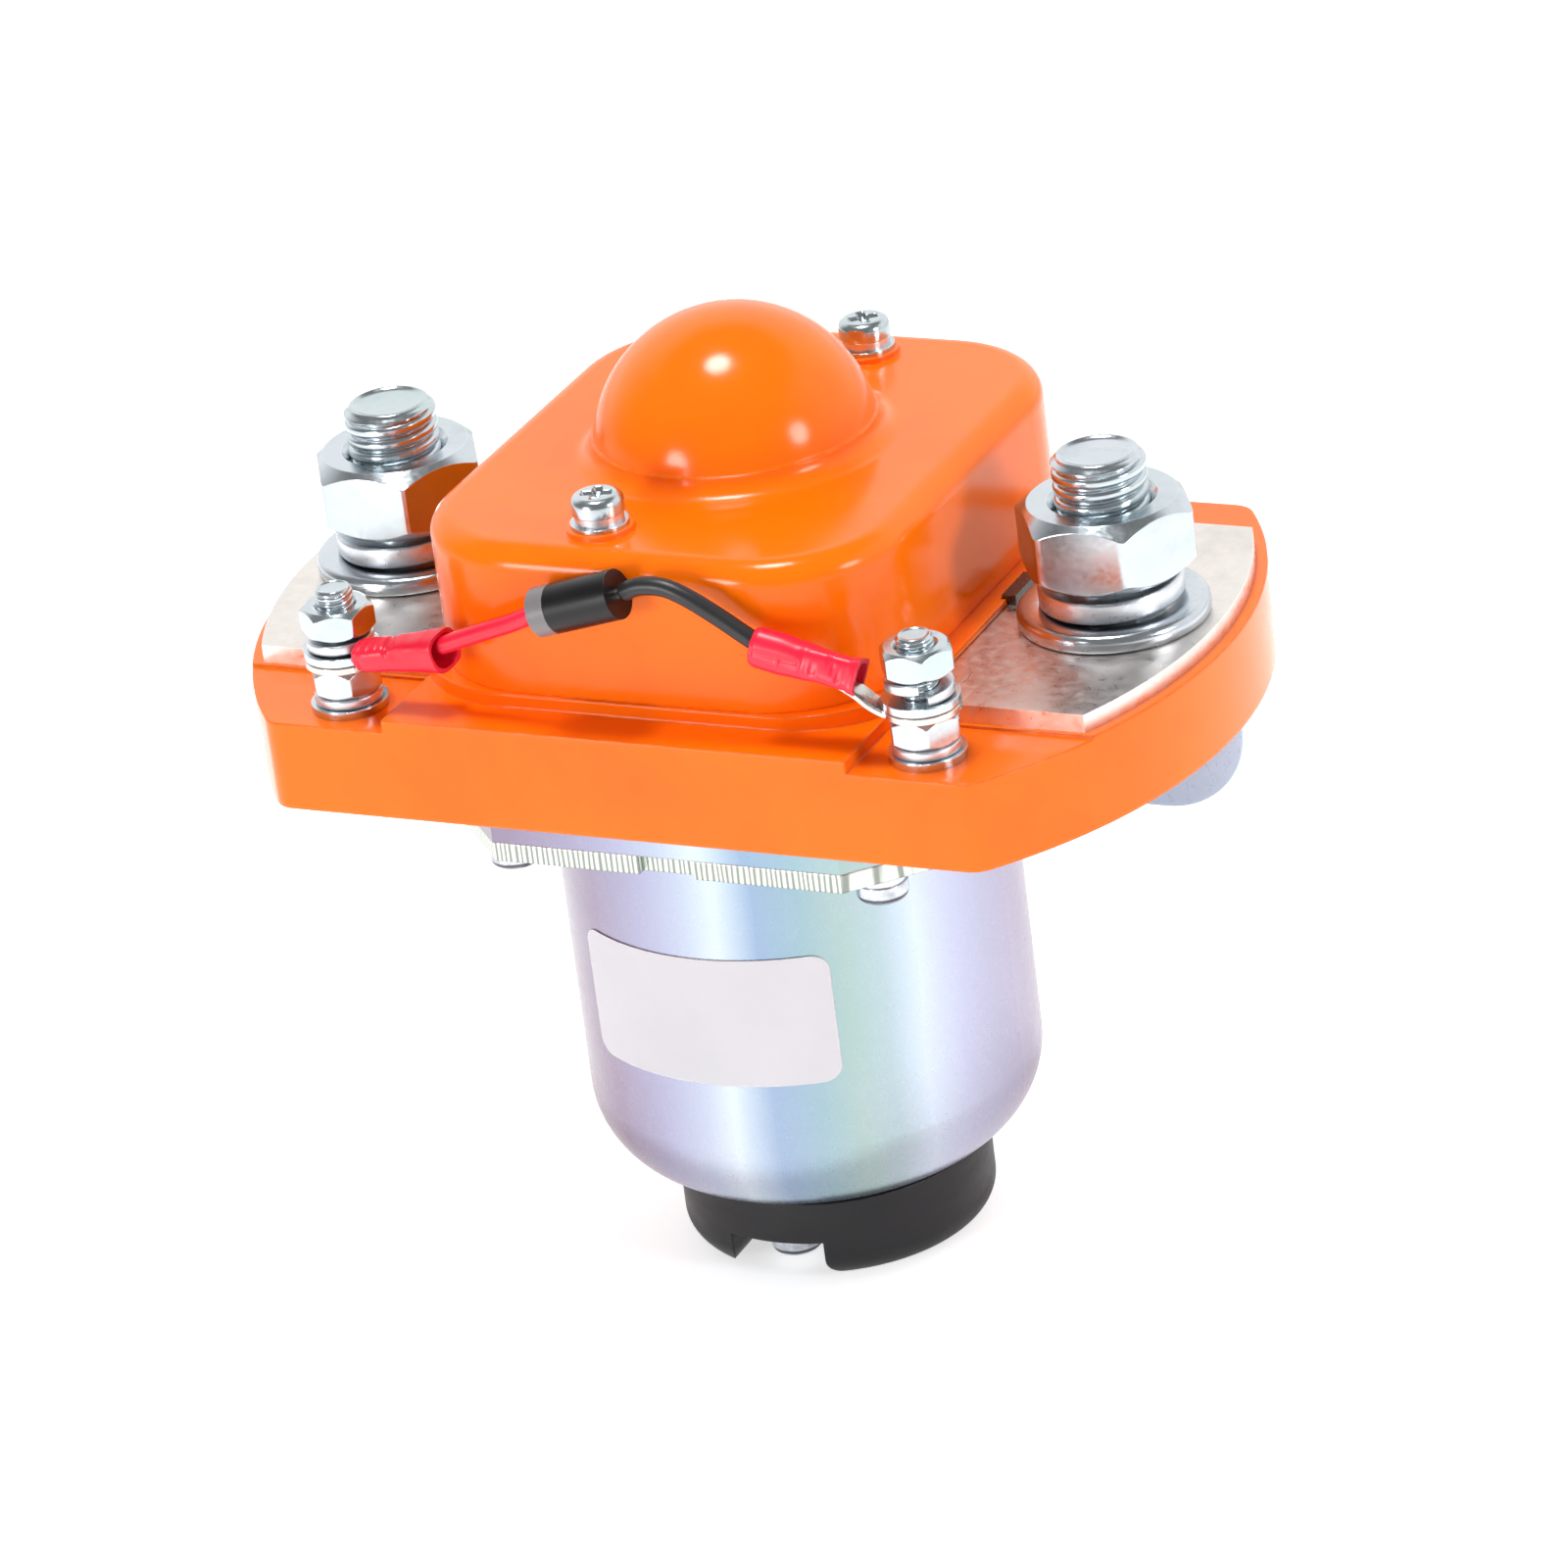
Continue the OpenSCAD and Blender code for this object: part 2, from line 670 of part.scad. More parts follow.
module busbar(s) {
    color("gainsboro") difference() {
        translate([0, 0, z_bar]) linear_extrude(bar_t) intersection() {
            circle(bar_end_r);
            translate([s > 0 ? bar_inner : -base_end_r - bar_inner, -bar_w / 2]) square([base_end_r, bar_w]);
        }
        translate([s * stud_x, 0, z_bar - eps])
            cylinder(d = stud_d + 2 * thread_clear, h = bar_t + 2 * eps);
        translate([s * bar_rivet[0], -bar_rivet[1], z_bar - eps])
            cylinder(d = bar_rivet_d + 2 * thread_clear, h = bar_t + 2 * eps);
    }
    // contact tip riveted on the inner end
    color("silver") translate([s * tip_x - fixed_tip[0] / 2, -fixed_tip[1] / 2, z_bar_top - eps])
        cube([fixed_tip[0], fixed_tip[1], tip_t + eps]);
}

module busbar_left() {
    busbar(-1);
}

module busbar_right() {
    busbar(1);
}

// Flush rivets of the busbars
module bar_rivets() {
    color("gainsboro") for (s = [-1, 1]) translate([s * bar_rivet[0], -bar_rivet[1], z_bar])
        cylinder(d = bar_rivet_d, h = bar_t + 0.05);
}

// Small tabs at the foot of the rim that hold the busbars down
module clamp_tabs() {
    color("silver") for (s = [0, 1]) mirror([s, 0, 0])
        translate([tab_x, tab_y, z_bar_top]) cube(tab_size);
}

module main_bolt(s) {
    foot = z_bar - bolt_head_h;
    color("silver") translate([s * stud_x, 0, foot])
        long_bolt(nut_af, bolt_head_h, stud_mean_d, stud_d,
            z_nut + nut_h + stud_free_over - foot, z_bar_top + stud_rise - foot);
}

module main_bolt_left() {
    main_bolt(-1);
}

module main_bolt_right() {
    main_bolt(1);
}

module main_washer(s) {
    color("silver") translate([s * stud_x, 0, z_bar_top])
        ring(washer_d, stud_d + 2 * thread_clear, washer_t);
}

module main_washer_left() {
    main_washer(-1);
}

module main_washer_right() {
    main_washer(1);
}

module main_spring_washer(s, turn) {
    color("lightsteelblue") translate([s * stud_x, 0, z_split])
        rotate([0, 0, turn]) split_ring(split_d, stud_d + 2 * pass_clear, split_t, split_rise);
}

module main_spring_washer_left() {
    main_spring_washer(-1, 115);
}

module main_spring_washer_right() {
    main_spring_washer(1, 115);
}

module main_nut(s, turn) {
    color("silver") translate([s * stud_x, 0, z_nut])
        rotate([0, 0, turn]) hex_nut(nut_af, nut_h, stud_mean_d + 2 * thread_clear);
}

module main_nut_left() {
    main_nut(-1, 1);
}

module main_nut_right() {
    main_nut(1, 5);
}

// Coil terminals

module coil_bolt(s, upper_z) {
    color("silver") translate([s * coil_x, -coil_front, coil_head_z])
        long_bolt(coil_nut_af, coil_head_h, coil_mean_d, coil_stud_d,
            upper_z + coil_nut_h + coil_free_over - coil_head_z, coil_stud_top - coil_head_z);
}

module coil_bolt_left() {
    coil_bolt(-1, z_left_nut);
}

module coil_bolt_right() {
    coil_bolt(1, z_right_nut);
}

module coil_ring_part(s, z, t) {
    translate([s * coil_x, -coil_front, z]) ring(coil_washer_d, coil_stud_d + 2 * thread_clear, t);
}

module coil_washer_left() {
    color("silver") coil_ring_part(-1, z_seat, coil_washer_t);
}

module coil_washer_right() {
    color("silver") coil_ring_part(1, z_seat, coil_washer_t);
}

module coil_split(s, z, turn, t, rise) {
    color("lightsteelblue") translate([s * coil_x, -coil_front, z])
        rotate([0, 0, turn]) split_ring(coil_split_d, coil_stud_d + 2 * pass_clear, t, rise);
}

module coil_spring_washer_left() {
    coil_split(-1, z_coil_split, 100, coil_split_t - flat_rise, flat_rise);
}

module coil_spring_washer_right() {
    coil_split(1, z_coil_split, 160, coil_split_t - flat_rise, flat_rise);
}

module coil_nut(s, z, turn) {
    color("silver") translate([s * coil_x, -coil_front, z])
        rotate([0, 0, turn]) hex_nut(coil_nut_af, coil_nut_h, coil_mean_d + 2 * thread_clear);
}

module coil_nut_left() {
    coil_nut(-1, z_coil_nut, 4);
}

module coil_nut_right() {
    coil_nut(1, z_coil_nut, -2);
}

module upper_washer_left() {
    color("silver") coil_ring_part(-1, z_upper_washer, coil_washer_t);
}

module upper_washer_right() {
    color("silver") coil_ring_part(1, z_upper_washer, coil_washer_t);
}

module upper_spring_washer_left() {
    coil_split(-1, z_upper_split, 150, coil_split_t, left_rise);
}

module upper_spring_washer_right() {
    coil_split(1, z_upper_split, -60, coil_split_t, open_rise);
}

module upper_nut_left() {
    coil_nut(-1, z_left_nut, 22);
}

module upper_nut_right() {
    coil_nut(1, z_right_nut, 3);
}

function toward(a, b, t) = a + t * (b - a) / norm(b - a);

// Ring terminal: the tongue leaves the ring, bends up at bend_at and ends in the wire barrel
module ring_terminal(s, bend_at, barrel_from, barrel_to) {
    center = [s * coil_x, -coil_front, z_ring];
    out = [bend_at[0] - center[0], bend_at[1] - center[1]];
    color("gainsboro") {
        difference() {
            union() {
                translate(center) cylinder(d = coil_washer_d, h = coil_washer_t);
                translate(center) rotate([0, 0, atan2(out[1], out[0])])
                    translate([0, -tongue_w / 2, 0]) cube([norm(out) + 0.3, tongue_w, coil_washer_t]);
            }
            translate(center - [0, 0, eps])
                cylinder(d = coil_stud_d + 2 * thread_clear, h = coil_washer_t + 2 * eps);
        }
        rod(bend_at + [0, 0, coil_washer_t / 2], barrel_from, coil_washer_t);
        translate(barrel_from) sphere(d = barrel_d, $fn = 32);
        rod(barrel_from, barrel_to, barrel_d);
    }
}

// Insulating sleeve over a barrel, with a lead coming out of its flared mouth
module terminal_sleeve(start, mouth, lead_size) {
    len = norm(mouth - start);
    barrel_end = len - barrel_depth;
    color("crimson") along(start, mouth) difference() {
        cylinder(d = sleeve_d, h = len);
        translate([0, 0, -1]) cylinder(d = barrel_d + 2 * thread_clear, h = barrel_end + 1 + eps);
        translate([0, 0, barrel_end]) cylinder(d = lead_size + 2 * thread_clear, h = barrel_depth + 1);
        translate([0, 0, len - flare_len])
            cylinder(d1 = lead_size, d2 = sleeve_d - 2 * mouth_wall, h = flare_len + 0.5);
    }
}

// Route of the diode and its leads, in front of the cover: inward, forward and up from a ring's centre
function from_left(x, y, z) = [-coil_x + x, -coil_front - y, z_ring + z];
function from_right(x, y, z) = [coil_x - x, -coil_front - y, z_ring + z];

tongue_w = 2.6;
barrel_d = 1.4;
sleeve_d = 4.3;
mouth_wall = 0.3;
flare_len = 3.6;
barrel_depth = 5;
corner_depth = 1.5;
lead_gap = 0.25;
sleeve_back = 0.2;
left_bend = from_left(3.8, 2.3, 0);
left_start = from_left(4.4, 2.5, 2.2);
left_mouth = from_left(14.3, 2.2, 3);
right_bend = from_right(4.6, 1.6, 0);
right_start = from_right(5.6, 1.9, 4.1);
right_mouth = from_right(17.4, 2.5, 7);
diode_mid = [-2.9, -coil_front - 2.9, z_ring + 10.3];
diode_dir = [cos(16.5), 0, sin(16.5)];
diode_left = diode_mid - diode_dir * diode_len / 2;
diode_right = diode_mid + diode_dir * diode_len / 2;
band_len = 2.1;
bare_left = 0.4;
bare_right = 0.8;
red_end = diode_left - diode_dir * (bare_left + lead_gap);
black_start = diode_right + diode_dir * (bare_right + lead_gap);

// Bends of the black lead: share of the way to the sleeve, and height above the ring
black_run = right_mouth - black_start;
black_bends = [for (b = [[0.28, 12.9], [0.54, 12.2], [0.84, 9.6]])
    [black_start[0] + b[0] * black_run[0], black_start[1] + b[0] * black_run[1], z_ring + b[1]]];
black_reach = black_run[0] * 0.11;

module ring_terminal_left() {
    ring_terminal(-1, left_bend, left_start, toward(left_mouth, left_start, barrel_depth));
}

module ring_terminal_right() {
    ring_terminal(1, right_bend, right_start, toward(right_mouth, right_start, barrel_depth));
}

module terminal_sleeve_left() {
    terminal_sleeve(toward(left_start, left_mouth, sleeve_back), left_mouth, red_sleeve_d);
}

module terminal_sleeve_right() {
    terminal_sleeve(toward(right_start, right_mouth, sleeve_back), right_mouth, black_sleeve_d);
}

module diode_body() {
    color("#222226") rod(diode_left + diode_dir * band_len, diode_right, diode_d);
}

module diode_band() {
    color("silver") rod(diode_left, diode_left + diode_dir * band_len, diode_d);
}

module diode_leads() {
    color("gainsboro") {
        rod(diode_left - diode_dir * bare_left, diode_left, lead_d);
        rod(diode_right, diode_right + diode_dir * bare_right, lead_d);
    }
}

module lead_sleeve_red() {
    color("red") wire([
        toward(left_mouth, left_start, barrel_depth - lead_gap),
        toward(left_mouth, left_start, corner_depth),
        red_end
    ], red_sleeve_d, corner_depth, [0, 1, 0]);
}

module lead_sleeve_black() {
    color("#18181a") wire(concat([black_start], black_bends, [
        toward(right_mouth, right_start, corner_depth),
        toward(right_mouth, right_start, barrel_depth - lead_gap)
    ]), black_sleeve_d, black_reach, [0, 1, 0]);
}

// Cover screws

module at_cover_screws(z) {
    for (s = [-1, 1]) translate([s * cover_screw[0], s * cover_screw[1], z]) children();
}

z_cover_boss = z_cover_top + boss_h;

module cover_screws() {
    stack = small_washer_t + small_split_t;
    color("silver") at_cover_screws(z_cover_boss + stack)
        pan_screw(cover_h + boss_h + stack + screw_depth);
}

// Magnet frame and bracket

module plate_outline() {
    half = plate_w / 2;
    c = plate_chamfer;
    polygon([
        [-half + c, -half], [half - c, -half], [half, -half + c], [half, half - c],
        [half - c, half], [-half + c, half], [-half, half - c], [-half, -half + c]
    ]);
}

module at_plate_screws(z) {
    for (sx = [-1, 1], sy = [-1, 1])
        translate([sx * plate_screw, sy * plate_screw, z]) children();
}

// Small pressed dimples beside the plate screws
module at_dimples(z) {
    x = plate_screw - (small_washer_d + dimple_d) / 2 - dimple_gap;
    for (sx = [-1, 1], sy = [-1, 1]) translate([sx * x, sy * plate_screw, z]) children();
}

module yoke_plate() {
    color("lightsteelblue") difference() {
        translate([0, 0, z_yoke]) linear_extrude(yoke_t) plate_outline();
        translate([0, 0, z_yoke - eps]) cylinder(r = tube_r + thread_clear, h = yoke_t - tube_stop + eps);
        translate([0, 0, z_yoke]) cylinder(d = shaft_d + 2 * run_clear, h = yoke_t + eps);
        at_plate_screws(z_yoke - eps) cylinder(d = screw_d + pass_clear, h = yoke_t + 2 * eps);
        for (s = [-1, 1])
            translate([s * lead_from[0], lead_from[1], z_yoke - eps]) cylinder(d = 3, h = yoke_t + 2 * eps);
    }
}

module mounting_bracket() {
    half = plate_w / 2;
    front_y = bracket_back - bracket_t;
    color("lightsteelblue") difference() {
        union() {
            translate([0, 0, z_bracket]) linear_extrude(bracket_t) difference() {
                union() {
                    intersection() {
                        plate_outline();
                        translate([-half, -half]) square([plate_w, half + 10]);
                    }
                    translate([-half, 0]) square([plate_w, front_y - bend_r]);
                }
                translate([-notch[0] / 2, -half - eps]) square([notch[0], notch[1] + eps]);
            }
            at_dimples(z_bracket - dimple_h) cylinder(d = dimple_d, h = dimple_h + eps);
            // outside of the bend
            translate([0, front_y - bend_r, z_bracket - bend_r]) rotate([90, 0, 90])
                linear_extrude(plate_w, center = true) intersection() {
                    difference() {
                        circle(bend_r + bracket_t);
                        circle(bend_r);
                    }
                    square(bend_r + bracket_t);
                }
            translate([-half, front_y, leg_z]) cube([plate_w, bracket_t, z_bracket - bend_r - leg_z]);
            // upright leg with its two rounded lower corners
            translate([0, bracket_back, 0]) rotate([90, 0, 0]) linear_extrude(bracket_t) {
                translate([-leg_w / 2, leg_z]) square([leg_w, z_bracket - shoulder - leg_z]);
                translate([-leg_w / 2 + leg_corner_r, leg_low])
                    square([leg_w - 2 * leg_corner_r, leg_corner_r]);
                for (s = [-1, 1]) translate([s * (leg_w / 2 - leg_corner_r), leg_z]) circle(leg_corner_r);
            }
        }
        translate([0, 0, z_bracket - eps]) cylinder(r = can_r + can_clear, h = bracket_t + 2 * eps);
        at_plate_screws(z_bracket - eps) cylinder(d = screw_d + pass_clear, h = bracket_t + 2 * eps);
        for (s = [-1, 1])
            translate([s * wall_pitch / 2, bracket_back + eps, wall_z]) rotate([90, 0, 0])
                cylinder(d = wall_hole_d, h = bracket_t + 2 * eps);
    }
}

module plate_screws() {
    stack = small_washer_t + small_split_t;
    color("silver") at_plate_screws(z_bracket - stack) mirror([0, 0, 1])
        pan_screw(stack + bracket_t + flange_t + yoke_t + screw_depth);
}

// Flat washers of the cover, plate and cap screws
module small_washers() {
    color("silver") {
        at_cover_screws(z_cover_boss) ring(small_washer_d, screw_d + 2 * pass_clear, small_washer_t);
        at_plate_screws(z_bracket - small_washer_t)
            ring(small_washer_d, screw_d + 2 * pass_clear, small_washer_t);
        at_cap_screws(slot_d - small_washer_t) ring(small_washer_d, screw_d + 2 * pass_clear, small_washer_t);
    }
}

// Tightened split washer of a small screw
module small_split(turn) {
    rotate([0, 0, turn]) difference() {
        ring(small_split_d, screw_d + 2 * pass_clear, small_split_t);
        translate([0, -split_slot / 2, -eps]) cube([small_split_d, split_slot, small_split_t + 2 * eps]);
    }
}

module small_spring_washers() {
    color("lightsteelblue") {
        at_cover_screws(z_cover_boss + small_washer_t) small_split(200);
        at_plate_screws(z_bracket - small_washer_t - small_split_t) small_split(120);
        at_cap_screws(slot_d - small_washer_t - small_split_t) small_split(60);
    }
}

// Outer or inner form of the drawn can, as a solid of revolution up to height top
module can_form(r, low, bottom_r, top) {
    translate([0, 0, low]) rotate_extrude() {
        translate([0, bottom_r]) square([r, top - low - bottom_r]);
        square([r - bottom_r, bottom_r + eps]);
        intersection() {
            translate([r - bottom_r, bottom_r]) circle(bottom_r);
            translate([r - bottom_r - eps, 0]) square([bottom_r + eps, bottom_r + eps]);
        }
    }
}

module coil_can() {
    color("#b9bcd6") difference() {
        union() {
            can_form(can_r, cap_h, can_bottom_r, z_yoke);
            translate([0, 0, z_flange]) linear_extrude(flange_t) plate_outline();
        }
        can_form(can_inner, z_can_floor, can_bottom_r - can_wall, z_yoke + eps);
        at_plate_screws(z_flange - eps) cylinder(d = screw_d + pass_clear, h = flange_t + 2 * eps);
        at_cap_screws(cap_h - eps) cylinder(d = screw_d + pass_clear, h = can_wall + 2 * eps);
    }
}

module pole_core() {
    color("lightslategray") difference() {
        union() {
            translate([0, 0, z_can_floor]) cylinder(r = pole_flange_r, h = pole_flange_t);
            translate([0, 0, z_can_floor]) cylinder(r = plunger_r - pole_clear, h = pole_top - z_can_floor);
        }
        at_cap_screws(z_can_floor - eps) cylinder(d = screw_d + 2 * thread_clear, h = pole_screw_depth + eps);
    }
}

module guide_tube() {
    color("goldenrod") translate([0, 0, bobbin_z])
        ring(2 * tube_r, 2 * (tube_r - tube_wall), z_yoke + yoke_t - tube_stop - bobbin_z);
}

module coil_bobbin() {
    len = z_yoke - 0.2 - bobbin_z;
    color("ivory") difference() {
        translate([0, 0, bobbin_z]) {
            ring(2 * (tube_r + 0.1 + bobbin_wall), 2 * (tube_r + 0.1), len);
            for (z = [0, len - bobbin_flange_t])
                translate([0, 0, z]) ring(2 * bobbin_r, 2 * (tube_r + 0.1), bobbin_flange_t);
        }
        for (s = [-1, 1])
            translate([s * lead_from[0], lead_from[1], z_yoke - 4])
                cylinder(d = lead_d + 2 * pass_clear, h = 5);
        // the lower flange follows the can's rounded bottom
        translate([0, 0, z_can_floor]) difference() {
            cylinder(r = can_r, h = can_bottom_r);
            translate([0, 0, -z_can_floor])
                can_form(can_inner - 0.3, z_can_floor + 0.3, can_bottom_r - can_wall, z_yoke);
        }
    }
}

module coil_winding() {
    z = bobbin_z + bobbin_flange_t + 2;
    color("chocolate") translate([0, 0, z])
        ring(2 * (bobbin_r - 1.2), 2 * (tube_r + 0.15 + bobbin_wall), z_yoke - 0.2 - bobbin_flange_t - z);
}

module coil_leads() {
    top = coil_head_z - lead_d / 2;
    level = z_base + 1.4;
    color("peru") for (s = [-1, 1]) {
        v = [s * (coil_x - lead_from[0]), -coil_front - lead_from[1]];
        end = [s * lead_from[0], lead_from[1]] + v * (1 - 1.6 / norm(v));
        wire([
            [s * lead_from[0], lead_from[1], z_yoke - 0.2 - bobbin_flange_t],
            [s * lead_from[0], lead_from[1], level],
            [end[0], end[1], level],
            [end[0], end[1], top]
        ], lead_d, 1.2, [-v[1], v[0], 0]);
    }
}

// Places children at the two screws that hold the cap
module at_cap_screws(z) {
    for (s = [-1, 1]) translate([cap_shift, s * cap_screw_y, z]) children();
}

module bottom_cap() {
    r = cap_d / 2;
    color("#2a2a2c") translate([cap_shift, 0, 0]) difference() {
        rotate_extrude() {
            translate([0, cap_edge_r]) square([r, cap_h - cap_edge_r]);
            square([r - cap_edge_r, cap_h]);
            translate([r - cap_edge_r, cap_edge_r]) circle(cap_edge_r, $fn = 48);
        }
        translate([0, r + eps, 0]) rotate([90, 0, 0]) linear_extrude(2 * r + 2 * eps) slot_profile();
        for (s = [-1, 1]) translate([0, s * cap_screw_y, 0])
            cylinder(d = screw_d + pass_clear, h = cap_h + eps);
        translate([0, 0, slot_d + cap_web]) cylinder(r = cap_recess_r, h = cap_h);
    }
}

// Cross-section of the slot, flared by the rounded edges of the foot
module slot_profile() {
    translate([-slot_w / 2, -eps]) square([slot_w, slot_d + eps]);
    for (s = [-1, 1]) translate([s * (slot_w / 2 + slot_edge_r / 2), 0]) difference() {
        translate([-slot_edge_r / 2, -eps]) square([slot_edge_r, slot_edge_r + eps]);
        translate([s * slot_edge_r / 2, slot_edge_r]) circle(slot_edge_r);
    }
}

module cap_screws() {
    stack = small_washer_t + small_split_t;
    color("silver") at_cap_screws(slot_d - stack) mirror([0, 0, 1])
        pan_screw(stack + cap_h - slot_d + can_wall + pole_screw_depth - screw_end_gap);
}

label_w = 31;
label_h = 15;
label_low = 28.1;
label_turn = -2.2;
module label() {
    color("white") rotate([0, 0, label_turn]) intersection() {
        translate([0, 0, label_low]) ring(can_d + 0.3, can_d, label_h);
        translate([0, 0, label_low + label_h / 2]) rotate([90, 0, 0]) linear_extrude(30)
            round_rect(can_r * sin(label_w / can_r * 90 / PI), label_h / 2, 1.8);
    }
}

// Moving parts

module plunger() {
    color("slategray") difference() {
        translate([0, 0, plunger_z]) cylinder(r = plunger_r, h = plunger_len);
        translate([0, 0, shaft_low]) cylinder(d = shaft_d + 2 * thread_clear, h = plunger_len);
    }
}

module plunger_shaft() {
    color("lightgray") translate([0, 0, shaft_low]) stud_rod(shaft_d, shaft_top - shaft_low);
}

// Insulating collar: the return spring pushes on it, and the bridge rests on it
module spring_collar() {
    color("saddlebrown") translate([0, 0, z_collar]) ring(collar_d, shaft_d + 2 * thread_clear, collar_t);
}

module top_nut() {
    color("silver") {
        translate([0, 0, z_top_washer]) ring(top_washer_d, shaft_d + 2 * thread_clear, top_washer_t);
        translate([0, 0, z_top_nut]) difference() {
            hex_block(top_nut_af, top_nut_h);
            translate([0, 0, -eps]) cylinder(d = shaft_d + 2 * thread_clear, h = top_nut_h + 2 * eps);
        }
    }
}

module contact_bridge() {
    color("peru") difference() {
        translate([-bridge_len / 2, -bridge_w / 2, z_bridge]) cube([bridge_len, bridge_w, bridge_t]);
        translate([0, 0, z_bridge - eps]) cylinder(d = bush_d + 2 * thread_clear, h = bridge_t + 2 * eps);
    }
    color("silver") for (s = [-1, 1])
        translate([s * tip_x - moving_tip[0] / 2, -moving_tip[1] / 2, z_bridge_tip])
            cube([moving_tip[0], moving_tip[1], tip_t + eps]);
}

module bridge_bush() {
    color("saddlebrown") difference() {
        union() {
            translate([0, 0, z_bridge]) cylinder(d = bush_d, h = bridge_t + eps);
            translate([0, 0, z_bridge_top]) cylinder(d = bush_flange_d, h = bush_flange_t);
        }
        translate([0, 0, z_bridge - eps])
            cylinder(d = shaft_d + 2 * run_clear, h = bridge_t + bush_flange_t + 2 * eps);
    }
}

module return_spring() {
    z = z_base + well_floor;
    color("gray") translate([0, 0, z]) coil_spring(return_spring_r, return_wire_d, z_collar - z, 5);
}

module contact_spring() {
    color("gray") translate([0, 0, z_contact_spring])
        coil_spring(contact_spring_r, contact_wire_d, spring_len, 4);
}

base_moulding();
cover_moulding();
busbar_left();
busbar_right();
bar_rivets();
clamp_tabs();
main_bolt_left();
main_bolt_right();
main_washer_left();
main_washer_right();
main_spring_washer_left();
main_spring_washer_right();
main_nut_left();
main_nut_right();
coil_bolt_left();
coil_bolt_right();
coil_washer_left();
coil_washer_right();
coil_spring_washer_left();
coil_spring_washer_right();
coil_nut_left();
coil_nut_right();
ring_terminal_left();
ring_terminal_right();
upper_washer_left();
upper_washer_right();
upper_spring_washer_left();
upper_spring_washer_right();
upper_nut_left();
upper_nut_right();
terminal_sleeve_left();
terminal_sleeve_right();
diode_body();
diode_band();
diode_leads();
lead_sleeve_red();
lead_sleeve_black();
cover_screws();
mounting_bracket();
yoke_plate();
plate_screws();
small_washers();
small_spring_washers();
coil_can();
pole_core();
guide_tube();
coil_bobbin();
coil_winding();
coil_leads();
bottom_cap();
cap_screws();
label();
plunger();
plunger_shaft();
spring_collar();
top_nut();
contact_bridge();
bridge_bush();
return_spring();
contact_spring();
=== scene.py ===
"""Looks of the solenoid relay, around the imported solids.

Lengths in the making functions are in millimetres, in the part's own frame: the origin is the middle
of the bottom cap's foot and +Z runs up the can's axis. MM turns them into Blender's metres.
"""
import json
import math
import bpy
from mathutils import Matrix, Vector


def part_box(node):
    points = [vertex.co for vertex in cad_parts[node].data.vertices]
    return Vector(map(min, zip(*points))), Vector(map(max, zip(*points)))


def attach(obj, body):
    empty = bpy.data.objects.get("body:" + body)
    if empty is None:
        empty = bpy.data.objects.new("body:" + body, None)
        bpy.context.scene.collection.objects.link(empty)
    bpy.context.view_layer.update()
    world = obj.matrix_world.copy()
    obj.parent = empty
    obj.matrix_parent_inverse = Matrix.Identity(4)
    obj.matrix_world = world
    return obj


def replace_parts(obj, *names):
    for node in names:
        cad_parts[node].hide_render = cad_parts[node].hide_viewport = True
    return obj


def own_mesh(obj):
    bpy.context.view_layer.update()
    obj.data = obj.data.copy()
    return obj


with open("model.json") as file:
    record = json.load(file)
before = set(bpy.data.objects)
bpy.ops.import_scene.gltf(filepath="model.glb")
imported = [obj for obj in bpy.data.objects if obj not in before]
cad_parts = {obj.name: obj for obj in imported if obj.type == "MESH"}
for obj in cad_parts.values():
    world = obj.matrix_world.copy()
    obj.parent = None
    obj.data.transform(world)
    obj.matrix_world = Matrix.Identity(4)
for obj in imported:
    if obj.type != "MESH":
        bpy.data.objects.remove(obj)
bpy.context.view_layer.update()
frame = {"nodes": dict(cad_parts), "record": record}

MM = 0.001
SCENE = bpy.context.scene
NODES = frame["nodes"]


def lows(node):
    """Lowest corner of a CAD node, in millimetres."""
    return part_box(node)[0] / MM


def highs(node):
    """Highest corner of a CAD node, in millimetres."""
    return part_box(node)[1] / MM


def middle(node):
    """Centre of a CAD node's box, in millimetres."""
    return (lows(node) + highs(node)) / 2


# Mesh makers


def make(name, verts, faces, body, slot, sharp_deg):
    """A new piece from millimetre vertices, riding on a body. Edges over sharp_deg stay sharp."""
    mesh = bpy.data.meshes.new(name)
    mesh.from_pydata([[c * MM for c in v] for v in verts], [], faces)
    mesh.validate()
    obj = bpy.data.objects.new(name, mesh)
    SCENE.collection.objects.link(obj)
    mesh.shade_smooth()
    mesh.set_sharp_from_angle(angle=math.radians(sharp_deg))
    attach(obj, body)
    obj.data.materials.append(MATERIALS[slot])
    return obj


def turned(rows, cols, centre):
    """Closed surface round a vertical line: rows of (height, radius at an angle), with flat ends."""
    cx, cy = centre
    verts = []
    for z, radius_at in rows:
        for c in range(cols):
            a = 2 * math.pi * c / cols
            r = radius_at(a, z)
            verts.append((cx + r * math.cos(a), cy + r * math.sin(a), z))
    faces = []
    for i in range(len(rows) - 1):
        for c in range(cols):
            d = (c + 1) % cols
            faces.append((i * cols + c, i * cols + d, (i + 1) * cols + d, (i + 1) * cols + c))
    faces.append(tuple(range(cols))[::-1])
    top = (len(rows) - 1) * cols
    faces.append(tuple(range(top, top + cols)))
    return verts, faces


def spaced(low, high, step):
    """Even places from low to high, about step apart."""
    count = max(1, round((high - low) / step))
    return [low + (high - low) * i / count for i in range(count + 1)]


def join_parts(parts):
    """One vertex and face list from several."""
    verts, faces = [], []
    for v, f in parts:
        base = len(verts)
        verts += v
        faces += [tuple(base + i for i in face) for face in f]
    return verts, faces


# Columns round a bolt or a lug, and round a nut or a washer
COLS, FINE_COLS = 72, 144
